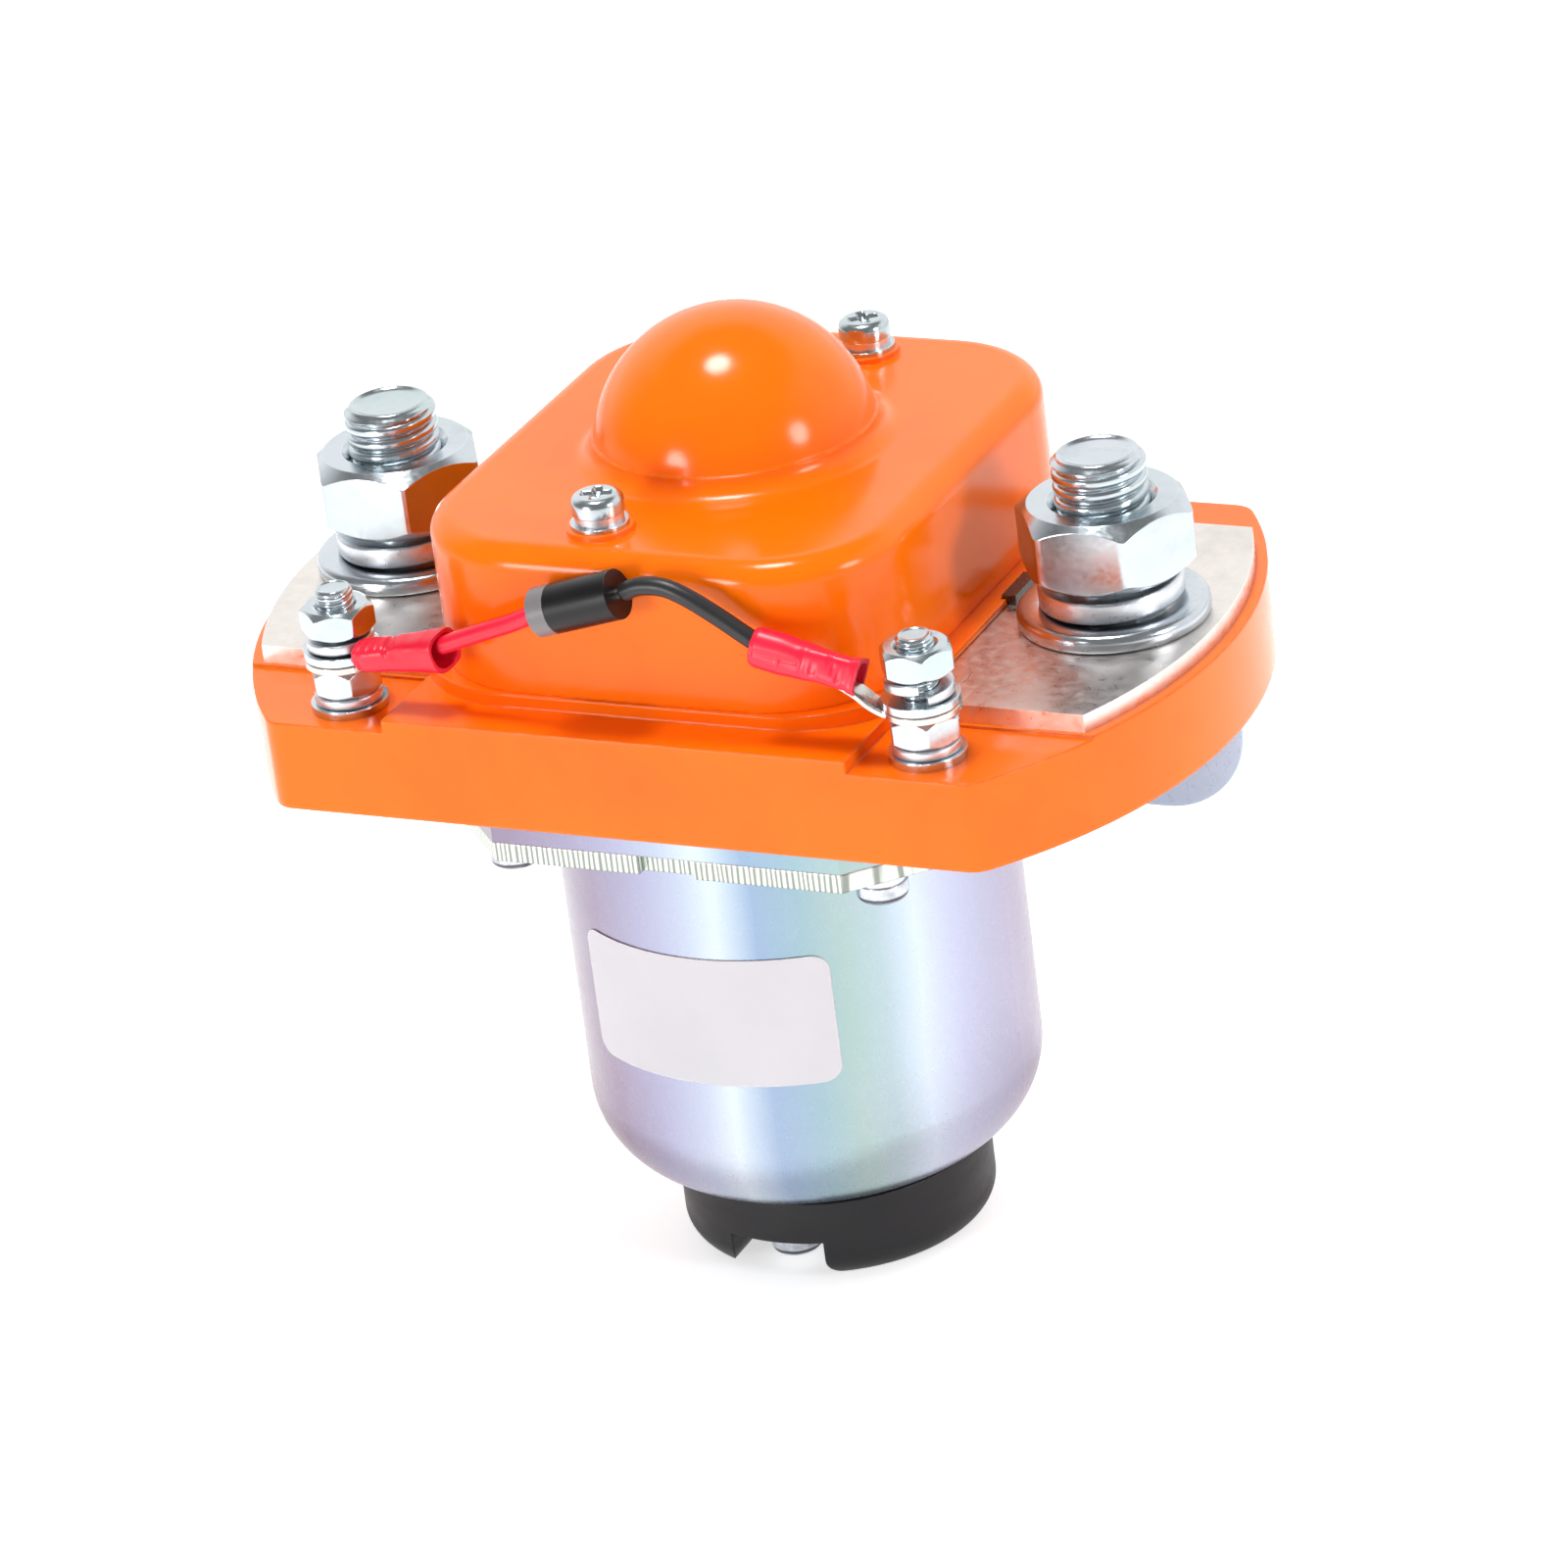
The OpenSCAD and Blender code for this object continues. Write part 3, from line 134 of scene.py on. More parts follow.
# Depth of a thread and rows of vertices along it, both for one pitch, how much broader its crests are
# than its grooves, and the slope of the cone at its end
THREAD_DEPTH, THREAD_ROWS, CREST_BREADTH, END_SLOPE = 0.46, 16, 3.5, 1.1


def thread_radius(outer, pitch, neck, high):
    """Radius of a rolled thread: broad round crests, narrow grooves, coned down to neck at its end."""
    depth = THREAD_DEPTH * pitch

    def radius(a, z):
        phase = (z / pitch - a / (2 * math.pi)) % 1.0
        ramp = abs(2 * phase - 1)
        r = outer - depth * ramp ** CREST_BREADTH
        return min(r, neck + END_SLOPE * (high - z))

    return radius


def hex_corner(flats):
    """Radius of a hexagon's corners."""
    return flats / 2 / math.cos(math.pi / 6)


def corner_drop(flats):
    """Height of the turned-off part of a hexagonal head's corners."""
    return (hex_corner(flats) - flats / 2) * 0.55


def hex_radius(flats, low, high):
    """Radius of a hexagonal head between low and high, its corners turned off at both ends."""
    corner, drop = hex_corner(flats), corner_drop(flats)

    def radius(a, z):
        b = a % (math.pi / 3) - math.pi / 6
        r = flats / 2 / math.cos(b)
        reach = flats / 2 + (corner - flats / 2) * min(z - low, high - z) / drop
        return min(r, max(reach, flats / 2))

    return radius


# End of a bolt of RIM_D: the neck and shoulder where its thread stops, then the rolled rim and the dish,
# each as a radius and a depth below the highest point
RIM_D, RIM_NECK, RIM_SHOULDER = 10, 4.38, 0.30
RIM = [(4.33, 0.14), (4.22, 0.04), (4.08, 0), (3.95, 0.02), (3.84, 0.10), (3.72, 0.20), (3.0, 0.26),
       (1.6, 0.31)]
# How far a bolt's shank reaches into its head
SUNK = 0.1


def bolt(name, node, major, pitch, flats, head_h):
    """Hexagon-headed bolt, thread up, with a rolled rim round its dished end. major is its diameter."""
    low, high = lows(node), highs(node)
    centre = middle(node)[:2]
    head_top = low[2] + head_h
    drop = corner_drop(flats)
    head_at = hex_radius(flats, low[2], head_top)
    head = turned([(z, head_at) for z in (low[2], low[2] + drop, head_top - drop, head_top)], COLS, centre)
    k = major / RIM_D
    shoulder = high[2] - RIM_SHOULDER * k
    thread_at = thread_radius(major / 2, pitch, RIM_NECK * k, shoulder)
    rows = [(z, thread_at) for z in spaced(head_top - SUNK, shoulder, pitch / THREAD_ROWS)]
    for r, down in RIM:
        rows.append((high[2] - down * k, lambda a, z, r=r: r * k))
    obj = make(name, *join_parts([head, turned(rows, COLS, centre)]), "housing", "zinc_plate", sharp_deg=50)
    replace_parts(obj, node)


def ringed(rings, cols, centre, capped=False):
    """Surface round a vertical line: each entry of rings gives (radius, height) at an angle.

    It closes on itself as a ring, or with a flat cap at each end.
    """
    cx, cy = centre
    verts = []
    for ring in rings:
        for c in range(cols):
            a = 2 * math.pi * c / cols
            r, z = ring(a)
            verts.append((cx + r * math.cos(a), cy + r * math.sin(a), z))
    faces, count = [], len(rings)
    for i in range(count - 1 if capped else count):
        j = (i + 1) % count
        for c in range(cols):
            d = (c + 1) % cols
            faces.append((i * cols + c, i * cols + d, j * cols + d, j * cols + c))
    if capped:
        faces.append(tuple(range(cols))[::-1])
        faces.append(tuple(range((count - 1) * cols, count * cols)))
    return verts, faces


def flat(r, z):
    """Round and level ring for ringed."""
    return lambda a: (r, z)


# A nut's flat face and its countersink, as shares of half its width and of its bore, and its cone
NUT_FACE, NUT_SINK, NUT_CONE = 0.93, 0.16, math.radians(40)
# How far a nut's corners reach, as a share of a sharp corner
NUT_CORNER = 0.985


def nut(name, node, flats, bore, turn_deg):
    """Hexagon nut with coned ends, softened edges and a countersunk thread."""
    low, high = lows(node)[2], highs(node)[2]
    half, face_r, slope = flats / 2, flats / 2 * NUT_FACE, math.tan(NUT_CONE)
    sink = bore * NUT_SINK
    turn = math.radians(turn_deg)

    def side(a):
        b = (a - turn) % (math.pi / 3) - math.pi / 6
        return min(half / math.cos(b), hex_corner(flats) * NUT_CORNER)

    def cone(a):
        return (side(a) - face_r) * slope

    rings = [
        flat(bore, low + sink), flat(bore + sink, low), flat(face_r, low),
        lambda a: (side(a), low + cone(a)), lambda a: (side(a), high - cone(a)),
        flat(face_r, high), flat(bore + sink, high), flat(bore, high - sink),
    ]
    obj = make(name, *ringed(rings, FINE_COLS, middle(node)[:2]), "housing", "zinc_plate", sharp_deg=18)
    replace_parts(obj, node)


def washer(name, node, outer, inner):
    """Stamped washer with a barrelled rim."""
    low, high = lows(node)[2], highs(node)[2]
    tall = high - low
    profile = [(inner, 0.08), (inner + 0.1, 0), (outer - 0.45, 0), (outer - 0.2, 0.05), (outer - 0.06, 0.16),
               (outer, 0.36), (outer, 0.55), (outer - 0.07, 0.72), (outer - 0.2, 0.86), (outer - 0.42, 0.965),
               (outer - 0.7, 1), (inner + 0.1, 1), (inner, 0.92)]
    rings = [flat(r, low + share * tall) for r, share in profile]
    obj = make(name, *ringed(rings, FINE_COLS, middle(node)[:2]), "housing", "zinc_plate", sharp_deg=60)
    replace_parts(obj, node)


def eased(value, width):
    """0 below 0, 1 above width, smooth between."""
    u = max(0.0, min(1.0, value / width))
    return u * u * (3 - 2 * u)


# Cover screws: pan head and shank
HEAD_R, HEAD_H, SHANK_R = 2.8, 2.1, 1.5
# Pressed cross: depth, half width and reach of an arm, and breadth of its walls at the side and the end
CROSS_DEPTH, CROSS_HALF, CROSS_REACH, CROSS_SIDE, CROSS_END = 0.62, 0.62, 1.75, 0.42, 0.5


def pan_screw(place, turn_deg, low, top):
    """Upright screw whose pan head has a pressed cross with sloping walls."""
    edge, turn = HEAD_H * 0.43, math.radians(turn_deg)

    def crown(r):
        def ring(a):
            x, y = abs(r * math.cos(a - turn)), abs(r * math.sin(a - turn))
            cross = max(eased(CROSS_HALF - q, CROSS_SIDE) * eased(CROSS_REACH - p, CROSS_END)
                        for p, q in ((x, y), (y, x)))
            over = max(0.0, r - (HEAD_R - edge))
            return r, top - edge + math.sqrt(edge * edge - over * over) - CROSS_DEPTH * cross
        return ring

    skirt = top - HEAD_H
    rings = [flat(SHANK_R, low), flat(SHANK_R, skirt), flat(HEAD_R - 0.12, skirt), flat(HEAD_R, skirt + 0.1)]
    rings += [crown(HEAD_R - 0.001)] + [crown(HEAD_R * k / 30) for k in range(29, 0, -1)]
    return ringed(rings, 120, place, capped=True)


# Half of a spring washer's gap, in degrees
SPLIT_GAP = 7.0


def split_ring(name, node, outer, inner, height, rise, turn, curl):
    """Spring washer with rounded edges, split at turn degrees. Its far end is higher by rise."""
    steps, soft = 96, 0.16 * height
    cx, cy = middle(node)[:2]
    low = lows(node)[2]
    corners = [(inner, 0, 1, 1), (outer, 0, -1, 1), (outer, height, -1, -1), (inner, height, 1, -1)]
    section = []
    for k, (r, z, sr, sz) in enumerate(corners):
        for j in range(4):
            b = math.radians(180 + 90 * k + 30 * j)
            section.append((r + sr * soft + soft * math.cos(b), z + sz * soft + soft * math.sin(b)))
    n = len(section)
    verts = []
    for i in range(steps + 1):
        a = math.radians(turn + SPLIT_GAP + (360 - 2 * SPLIT_GAP) * i / steps)
        lift = rise * (i / steps) ** curl
        for r, z in section:
            verts.append((cx + r * math.cos(a), cy + r * math.sin(a), low + lift + z))
    faces = []
    for i in range(steps):
        for c in range(n):
            d = (c + 1) % n
            faces.append((i * n + c, i * n + d, (i + 1) * n + d, (i + 1) * n + c)[::-1])
    faces.append(tuple(range(n)))
    faces.append(tuple(range(steps * n, steps * n + n))[::-1])
    obj = make(name, verts, faces, "housing", "spring_steel", sharp_deg=60)
    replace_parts(obj, node)


def smooth_path(points, per_leg):
    """Catmull-Rom curve through the points."""
    pts = [Vector(p) for p in points]
    out = []
    for i in range(len(pts) - 1):
        p0, p1 = pts[max(i - 1, 0)], pts[i]
        p2, p3 = pts[i + 1], pts[min(i + 2, len(pts) - 1)]
        for k in range(per_leg):
            u = k / per_leg
            out.append(0.5 * (2 * p1 + (p2 - p0) * u + (2 * p0 - 5 * p1 + 4 * p2 - p3) * u * u
                              + (3 * p1 - p0 - 3 * p2 + p3) * u ** 3))
    out.append(pts[-1])
    return out


def sweep(path, shape_at, sides, side_dir):
    """Tube along a path. shape_at(fraction, angle) gives the two offsets, across and along side_dir."""
    verts, count = [], len(path)
    for i, p in enumerate(path):
        step = path[min(i + 1, count - 1)] - path[max(i - 1, 0)]
        d = step.normalized()
        v = Vector(side_dir)
        v = (v - d * v.dot(d)).normalized()
        u = v.cross(d)
        for c in range(sides):
            across, along = shape_at(i / (count - 1), 2 * math.pi * c / sides)
            verts.append(tuple(p + u * across + v * along))
    faces = []
    for i in range(count - 1):
        for c in range(sides):
            d = (c + 1) % sides
            faces.append((i * sides + c, (i + 1) * sides + c, (i + 1) * sides + d, i * sides + d)[::-1])
    faces.append(tuple(range(sides)))
    faces.append(tuple(range((count - 1) * sides, count * sides))[::-1])
    return verts, faces


def hollow_sweep(path, outer_at, inner_at, sides, side_dir):
    """Open sleeve: an outer and an inner tube, joined at both mouths."""
    outside, outer_faces = sweep(path, outer_at, sides, side_dir)
    inside, inner_faces = sweep(path, inner_at, sides, side_dir)
    base, last = len(outside), len(outside) - sides
    verts = outside + inside
    # Both tubes lose their two end faces
    faces = outer_faces[:-2] + [tuple(base + i for i in face)[::-1] for face in inner_faces[:-2]]
    for c in range(sides):
        d = (c + 1) % sides
        faces.append((c, d, base + d, base + c)[::-1])
        faces.append((last + c, last + d, base + last + d, base + last + c))
    return verts, faces


# Materials


class Shader:
    """Node tree of one material, with short calls for the nodes used here."""

    def __init__(self, name):
        self.material = bpy.data.materials.new(name)
        self.material.use_nodes = True
        self.tree = self.material.node_tree
        self.bsdf = self.tree.nodes["Principled BSDF"]
        self.coord = self.add("ShaderNodeTexCoord").outputs["Object"]

    def add(self, kind, **props):
        node = self.tree.nodes.new(kind)
        for key, value in props.items():
            setattr(node, key, value)
        return node

    def link(self, a, b):
        self.tree.links.new(a, b)

    def set(self, **values):
        """Plain values on the shader's own sockets, with _ for a space in their names."""
        for key, value in values.items():
            self.bsdf.inputs[key.replace("_", " ")].default_value = value

    def scaled(self, scale):
        """Object coordinates stretched by a scale for each axis."""
        node = self.add("ShaderNodeMapping")
        self.link(self.coord, node.inputs["Vector"])
        node.inputs["Scale"].default_value = scale
        return node.outputs["Vector"]

    def noise(self, scale, detail=3.0, rough=0.5, vector=None):
        node = self.add("ShaderNodeTexNoise")
        node.inputs["Scale"].default_value = scale
        node.inputs["Detail"].default_value = detail
        node.inputs["Roughness"].default_value = rough
        self.link(vector or self.coord, node.inputs["Vector"])
        return node.outputs["Fac"]

    def span(self, value, low, high, to_low, to_high):
        """Value moved from the range low to high into the range to_low to to_high, and kept in it."""
        node = self.add("ShaderNodeMapRange")
        self.link(value, node.inputs["Value"])
        node.inputs["From Min"].default_value = low
        node.inputs["From Max"].default_value = high
        node.inputs["To Min"].default_value = to_low
        node.inputs["To Max"].default_value = to_high
        return node.outputs["Result"]

    def math(self, op, a, b=0.0):
        node = self.add("ShaderNodeMath", operation=op)
        for socket, value in zip(node.inputs, (a, b)):
            if isinstance(value, (int, float)):
                socket.default_value = value
            else:
                self.link(value, socket)
        return node.outputs[0]

    def ramp(self, value, stops):
        node = self.add("ShaderNodeValToRGB")
        ramp = node.color_ramp
        while len(ramp.elements) < len(stops):
            ramp.elements.new(0.5)
        for element, (place, colour) in zip(ramp.elements, stops):
            element.position = place
            element.color = (*colour, 1)
        self.link(value, node.inputs["Fac"])
        return node.outputs["Color"]

    def mix(self, fac, a, b):
        node = self.add("ShaderNodeMix", data_type="RGBA")
        for socket, value in ((node.inputs[0], fac), (node.inputs[6], a), (node.inputs[7], b)):
            if isinstance(value, (int, float)):
                socket.default_value = value
            elif isinstance(value, tuple):
                socket.default_value = (*value, 1)
            else:
                self.link(value, socket)
        return node.outputs[2]

    def edges(self, radius):
        """About 1 within radius millimetres of edges and corners, 0 on flat ground."""
        bevel = self.add("ShaderNodeBevel", samples=4)
        bevel.inputs["Radius"].default_value = radius * MM
        geometry = self.add("ShaderNodeNewGeometry")
        dot = self.add("ShaderNodeVectorMath", operation="DOT_PRODUCT")
        self.link(bevel.outputs["Normal"], dot.inputs[0])
        self.link(geometry.outputs["Normal"], dot.inputs[1])
        return self.span(dot.outputs["Value"], 0.98, 0.75, 0, 1)

    def bump(self, height, strength, distance, soft_edge=0.0):
        """Bump over normals that are softened at edges by soft_edge millimetres."""
        node = self.add("ShaderNodeBump")
        node.inputs["Strength"].default_value = strength
        node.inputs["Distance"].default_value = distance * MM
        self.link(height, node.inputs["Height"])
        if soft_edge:
            bevel = self.add("ShaderNodeBevel", samples=6)
            bevel.inputs["Radius"].default_value = soft_edge * MM
            self.link(bevel.outputs["Normal"], node.inputs["Normal"])
        self.link(node.outputs["Normal"], self.bsdf.inputs["Normal"])

    def colour(self, socket):
        self.link(socket, self.bsdf.inputs["Base Color"])

    def roughness(self, socket):
        self.link(socket, self.bsdf.inputs["Roughness"])


def srgb(r, g, b):
    """Linear colour from 0-255 screen values."""
    def one(v):
        v /= 255
        return v / 12.92 if v <= 0.04045 else ((v + 0.055) / 1.055) ** 2.4
    return one(r), one(g), one(b)


def plastic(name, base, deep, pale, rough, grain, soft_edge, specular=0.5):
    """Moulded plastic: cloudy colour, worn paler edges, fine skin texture and hairline scratches."""
    s = Shader(name)
    cloud = s.noise(38, 4, 0.6)
    tone = s.ramp(cloud, [(0.3, deep), (0.55, base), (0.8, base)])
    worn = s.math("MULTIPLY", s.edges(0.5), s.span(s.noise(700, 3), 0.45, 0.7, 0, 0.5))
    s.colour(s.mix(worn, tone, pale))
    smear = s.noise(90, 5, 0.65, s.scaled((1, 1, 3)))
    s.roughness(s.span(smear, 0.3, 0.75, rough * 0.8, rough * 1.3))
    s.set(Specular_IOR_Level=specular)
    skin = s.noise(grain, 3, 0.6)
    scratch = s.noise(260, 2, 0.4, s.scaled((1, 9, 2)))
    lines = s.span(scratch, 0.70, 0.74, 0, 0.5)
    s.bump(s.math("SUBTRACT", skin, lines), 0.12, 0.06, soft_edge)
    return s.material


def metal(name, base, dark, rough, soft_edge, tint=None, grain=900, strength=0.10):
    """Plated or bare metal: blotchy colour, fine grain, paler edges that stand for wear and a painted
    highlight, a film where tint is given.
    """
    s = Shader(name)
    s.set(Metallic=1.0)
    blotch = s.noise(120, 5, 0.65)
    colour = s.ramp(blotch, [(0.25, dark), (0.5, base), (0.75, base)])
    if tint:
        film = s.span(s.noise(60, 2, 0.5, s.scaled((1, 1, 1.7))), 0.4, 0.7, 0, 1)
        colour = s.mix(s.math("MULTIPLY", film, 0.55), colour, tint)
    # Paler edges: part wear, part painted highlight along every edge
    edge_wear_and_highlight = s.math("MULTIPLY", s.edges(0.22), 0.8)
    s.colour(s.mix(edge_wear_and_highlight, colour, tuple(min(1.0, c * 1.4) for c in base)))
    fine = s.noise(grain, 4, 0.6)
    s.roughness(s.span(fine, 0.3, 0.7, rough * 0.75, rough * 1.4))
    s.bump(fine, strength, 0.03, soft_edge)
    return s.material


def screw_zinc_painted_reflection():
    """Zinc of the small screws under the base, with painted reflections set by the way each spot faces: pale
    crown, dark turn of the edge, pale rim.
    """
    s = Shader("screw_zinc_painted_reflection")
    s.set(Metallic=1.0)
    facing = s.add("ShaderNodeSeparateXYZ")
    s.link(s.add("ShaderNodeNewGeometry").outputs["Normal"], facing.inputs[0])
    slope = s.math("ADD", facing.outputs[2], s.span(s.noise(500, 3), 0.3, 0.7, -0.06, 0.06))
    # Painted reflection: colour picked by how far the surface faces up or down
    tone = s.ramp(s.span(slope, -1, 0, 0, 1), [
        (0.0, srgb(226, 228, 232)), (0.35, srgb(196, 199, 205)), (0.58, srgb(104, 107, 114)),
        (0.80, srgb(66, 69, 76)), (0.91, srgb(128, 132, 139)), (1.0, srgb(196, 200, 206))])
    s.colour(tone)
    fine = s.noise(1500, 4, 0.6)
    s.roughness(s.span(fine, 0.3, 0.7, 0.14, 0.26))
    s.bump(fine, 0.05, 0.03, 0.1)
    return s.material


# Bracket's plate: height of its underside over the can's foot, its thickness, a radius inside all of its
# sheared edges and its leg, and the distance between the ribs on those edges
PLATE_UP, PLATE_T, PLATE_CLEAR_R, RIB_PITCH = 44.8, 2.1, 26, 0.62


def lilac_zinc():
    """Passivated zinc: thin-film colours that wander round the can mixed with painted highlights and painted
    shade, the bracket's sheared edge with painted rib light, and a painted-light front on the bracket's leg.
    """
    edge_low = lows("coil_can")[2] + PLATE_UP
    edge_high = edge_low + PLATE_T
    s = Shader("lilac_zinc")
    split = s.add("ShaderNodeSeparateXYZ")
    s.link(s.coord, split.inputs[0])
    x, y, z = split.outputs
    angle = s.math("ARCTAN2", y, x)
    turn = s.span(angle, -math.pi, math.pi, 0, 1)
    wobble = s.span(s.noise(28, 3, 0.55, s.scaled((1, 1, 0.35))), 0.3, 0.7, -0.012, 0.012)
    place = s.math("ADD", turn, wobble)
    # Stops round the can: the film's colours, with painted highlights and painted shade lighter and darker by
    # the can's side
    film_and_painted_light = s.ramp(place, [
        (0.00, srgb(169, 175, 186)), (0.10, srgb(136, 128, 140)), (0.16, srgb(138, 126, 146)),
        (0.21, srgb(156, 157, 182)), (0.245, srgb(168, 178, 196)), (0.272, srgb(190, 203, 212)),
        (0.305, srgb(134, 157, 183)), (0.335, srgb(136, 165, 174)), (0.36, srgb(150, 174, 170)),
        (0.385, srgb(160, 180, 186)), (0.41, srgb(189, 202, 217)), (0.44, srgb(174, 178, 201)),
        (0.467, srgb(163, 164, 185)), (0.50, srgb(155, 148, 169)), (0.54, srgb(131, 121, 141)),
        (0.575, srgb(112, 102, 118)), (0.65, srgb(140, 142, 156)), (0.80, srgb(160, 160, 180)),
        (1.00, srgb(169, 175, 186)),
    ])
    cloud = s.span(s.noise(45, 5, 0.6), 0.38, 0.72, 0, 0.2)
    skin = s.mix(cloud, film_and_painted_light, srgb(176, 176, 196))
    # Frosty specks of the plating
    frost = s.span(s.noise(1100, 5, 0.7), 0.56, 0.76, 0, 0.22)
    skin = s.mix(s.math("MULTIPLY", frost, 0.2), skin, srgb(222, 226, 232))
    # Sheared edge: upright ribs on the sides of the bracket's ring, raised by a bump, with painted highlights
    # in pale green and painted shade in the dark gaps
    geometry = s.add("ShaderNodeNewGeometry")
    facing = s.add("ShaderNodeSeparateXYZ")
    s.link(geometry.outputs["True Normal"], facing.inputs[0])
    upright = s.math("LESS_THAN", s.math("ABSOLUTE", facing.outputs[2]), 0.3)
    above_low = s.math("GREATER_THAN", z, edge_low * MM)
    in_plate = s.math("MULTIPLY", above_low, s.math("LESS_THAN", z, edge_high * MM))
    reach = s.math("SQRT", s.math("ADD", s.math("MULTIPLY", x, x), s.math("MULTIPLY", y, y)))
    out = s.math("GREATER_THAN", reach, PLATE_CLEAR_R * MM)
    edge = s.math("MULTIPLY", upright, s.math("MULTIPLY", in_plate, out))
    along = s.math("ADD", x, s.math("MULTIPLY", y, -0.75))
    stray = s.span(s.noise(420, 2, 0.5, s.scaled((1, 1, 0.1))), 0.3, 0.7, -0.22 * MM, 0.22 * MM)
    along = s.math("ADD", along, stray)
    wave = s.math("SINE", s.math("MULTIPLY", along, 2 * math.pi / (RIB_PITCH * MM)))
    rib = s.span(wave, -0.7, 0.3, 0, 1)
    shear_ribs_painted_light = s.mix(rib, srgb(138, 144, 138), srgb(214, 222, 212))
    # Painted light: the front of the bracket's leg, which stands in shade, is painted paler and less metallic
    # than the can
    painted_light_leg = s.math("MULTIPLY", out, s.math("LESS_THAN", z, edge_low * MM))
    painted_light_leg = s.math("MULTIPLY", painted_light_leg, s.math("LESS_THAN", facing.outputs[1], 0.2))
    skin = s.mix(painted_light_leg, skin, s.mix(frost, srgb(212, 236, 255), srgb(255, 255, 255)))
    s.colour(s.mix(edge, skin, shear_ribs_painted_light))
    fine = s.noise(1400, 3, 0.6, s.scaled((1, 1, 0.5)))
    s.roughness(s.span(fine, 0.3, 0.7, 0.26, 0.31))
    s.link(s.span(painted_light_leg, 0, 1, 1.0, 0.2), s.bsdf.inputs["Metallic"])
    ribs = s.math("MULTIPLY", s.math("MULTIPLY", rib, edge), 1.6)
    relief = s.math("ADD", s.math("MULTIPLY", fine, 0.10), ribs)
    s.bump(relief, 0.25, 0.03, 0.3)
    return s.material


# One material for each slot of the record
MATERIALS = {}
MATERIALS["moulding"] = plastic(
    "moulding_orange", srgb(255, 114, 5), srgb(252, 104, 12), srgb(255, 150, 80), 0.165, 1500, 0.45, 0.28)
MATERIALS["nickel_plate"] = metal(
    "nickel_plate", srgb(230, 224, 219), srgb(214, 208, 202), 0.33, 0, strength=0.01)
MATERIALS["zinc_plate"] = metal(
    "zinc_plate", srgb(206, 211, 218), srgb(184, 190, 198), 0.19, 0.16, tint=srgb(180, 200, 198),
    grain=1600, strength=0.05)
MATERIALS["spring_steel"] = metal(
    "spring_steel", srgb(222, 225, 230), srgb(208, 211, 217), 0.33, 0.14, grain=2600, strength=0.03)
MATERIALS["lilac_zinc"] = lilac_zinc()
MATERIALS["magnet_iron"] = metal(
    "magnet_iron", srgb(196, 196, 204), srgb(168, 166, 178), 0.30, 0.2)
MATERIALS["tinned_copper"] = metal(
    "tinned_copper", srgb(214, 212, 206), srgb(178, 174, 168), 0.24, 0.08)
MATERIALS["copper"] = metal("copper", srgb(226, 150, 110), srgb(170, 96, 62), 0.3, 0.15)
MATERIALS["brass"] = metal("brass", srgb(222, 190, 120), srgb(180, 146, 80), 0.28, 0.15)
MATERIALS["silver_ink"] = plastic(
    "silver_ink", srgb(122, 117, 119), srgb(100, 96, 98), srgb(178, 174, 176), 0.32, 2500, 0.12)
MATERIALS["diode_case"] = plastic(
    "diode_case", srgb(18, 16, 18), srgb(12, 11, 13), srgb(56, 54, 56), 0.36, 2600, 0.12, 0.36)
MATERIALS["black_plastic"] = plastic(
    "cap_black", srgb(22, 22, 25), srgb(15, 15, 18), srgb(70, 68, 72), 0.46, 1900, 0.35, 0.34)
MATERIALS["label_white"] = plastic(
    "label_white", srgb(200, 200, 206), srgb(194, 194, 200), srgb(228, 228, 232), 0.45, 900, 0.05)
MATERIALS["sleeve_red"] = plastic(
    "sleeve_red", srgb(236, 26, 60), srgb(214, 14, 46), srgb(250, 90, 110), 0.34, 800, 0.12)
MATERIALS["sleeve_black"] = plastic(
    "sleeve_black", srgb(34, 32, 34), srgb(24, 23, 25), srgb(70, 68, 68), 0.38, 900, 0.1)
MATERIALS["bobbin_plastic"] = plastic(
    "bobbin_plastic", srgb(232, 226, 204), srgb(214, 206, 182), srgb(245, 240, 225), 0.45, 900, 0.2)
MATERIALS["insulator"] = plastic(
    "insulator", srgb(120, 66, 40), srgb(96, 50, 30), srgb(160, 104, 76), 0.45, 1200, 0.2)

for part in frame["record"]["subparts"]:
    mesh = NODES[part["node"]].data
    mesh.materials.clear()
    mesh.materials.append(MATERIALS[part["material_slot"]])
# The screws under the base get zinc with painted reflections
painted_reflection_zinc = screw_zinc_painted_reflection()
for node in ("plate_screws", "cap_screws"):
    NODES[node].data.materials[0] = painted_reflection_zinc
# Clamp tabs painted dark: painted shade for the dark hollow round them
NODES["clamp_tabs"].data.materials[0] = metal(
    "tab_steel_painted_shade", srgb(104, 100, 98), srgb(58, 54, 52), 0.24, 0.05, grain=1300, strength=0.4)


# Fasteners with their threads

# Width across flats and bore radius of the nuts, outer and inner radius of their spring washers
MAIN_FLATS, MAIN_BORE, MAIN_SPLIT = 17, 5.05, (7.7, 5.2)
COIL_FLATS, COIL_BORE, COIL_SPLIT = 7, 2.03, (3.6, 2.15)

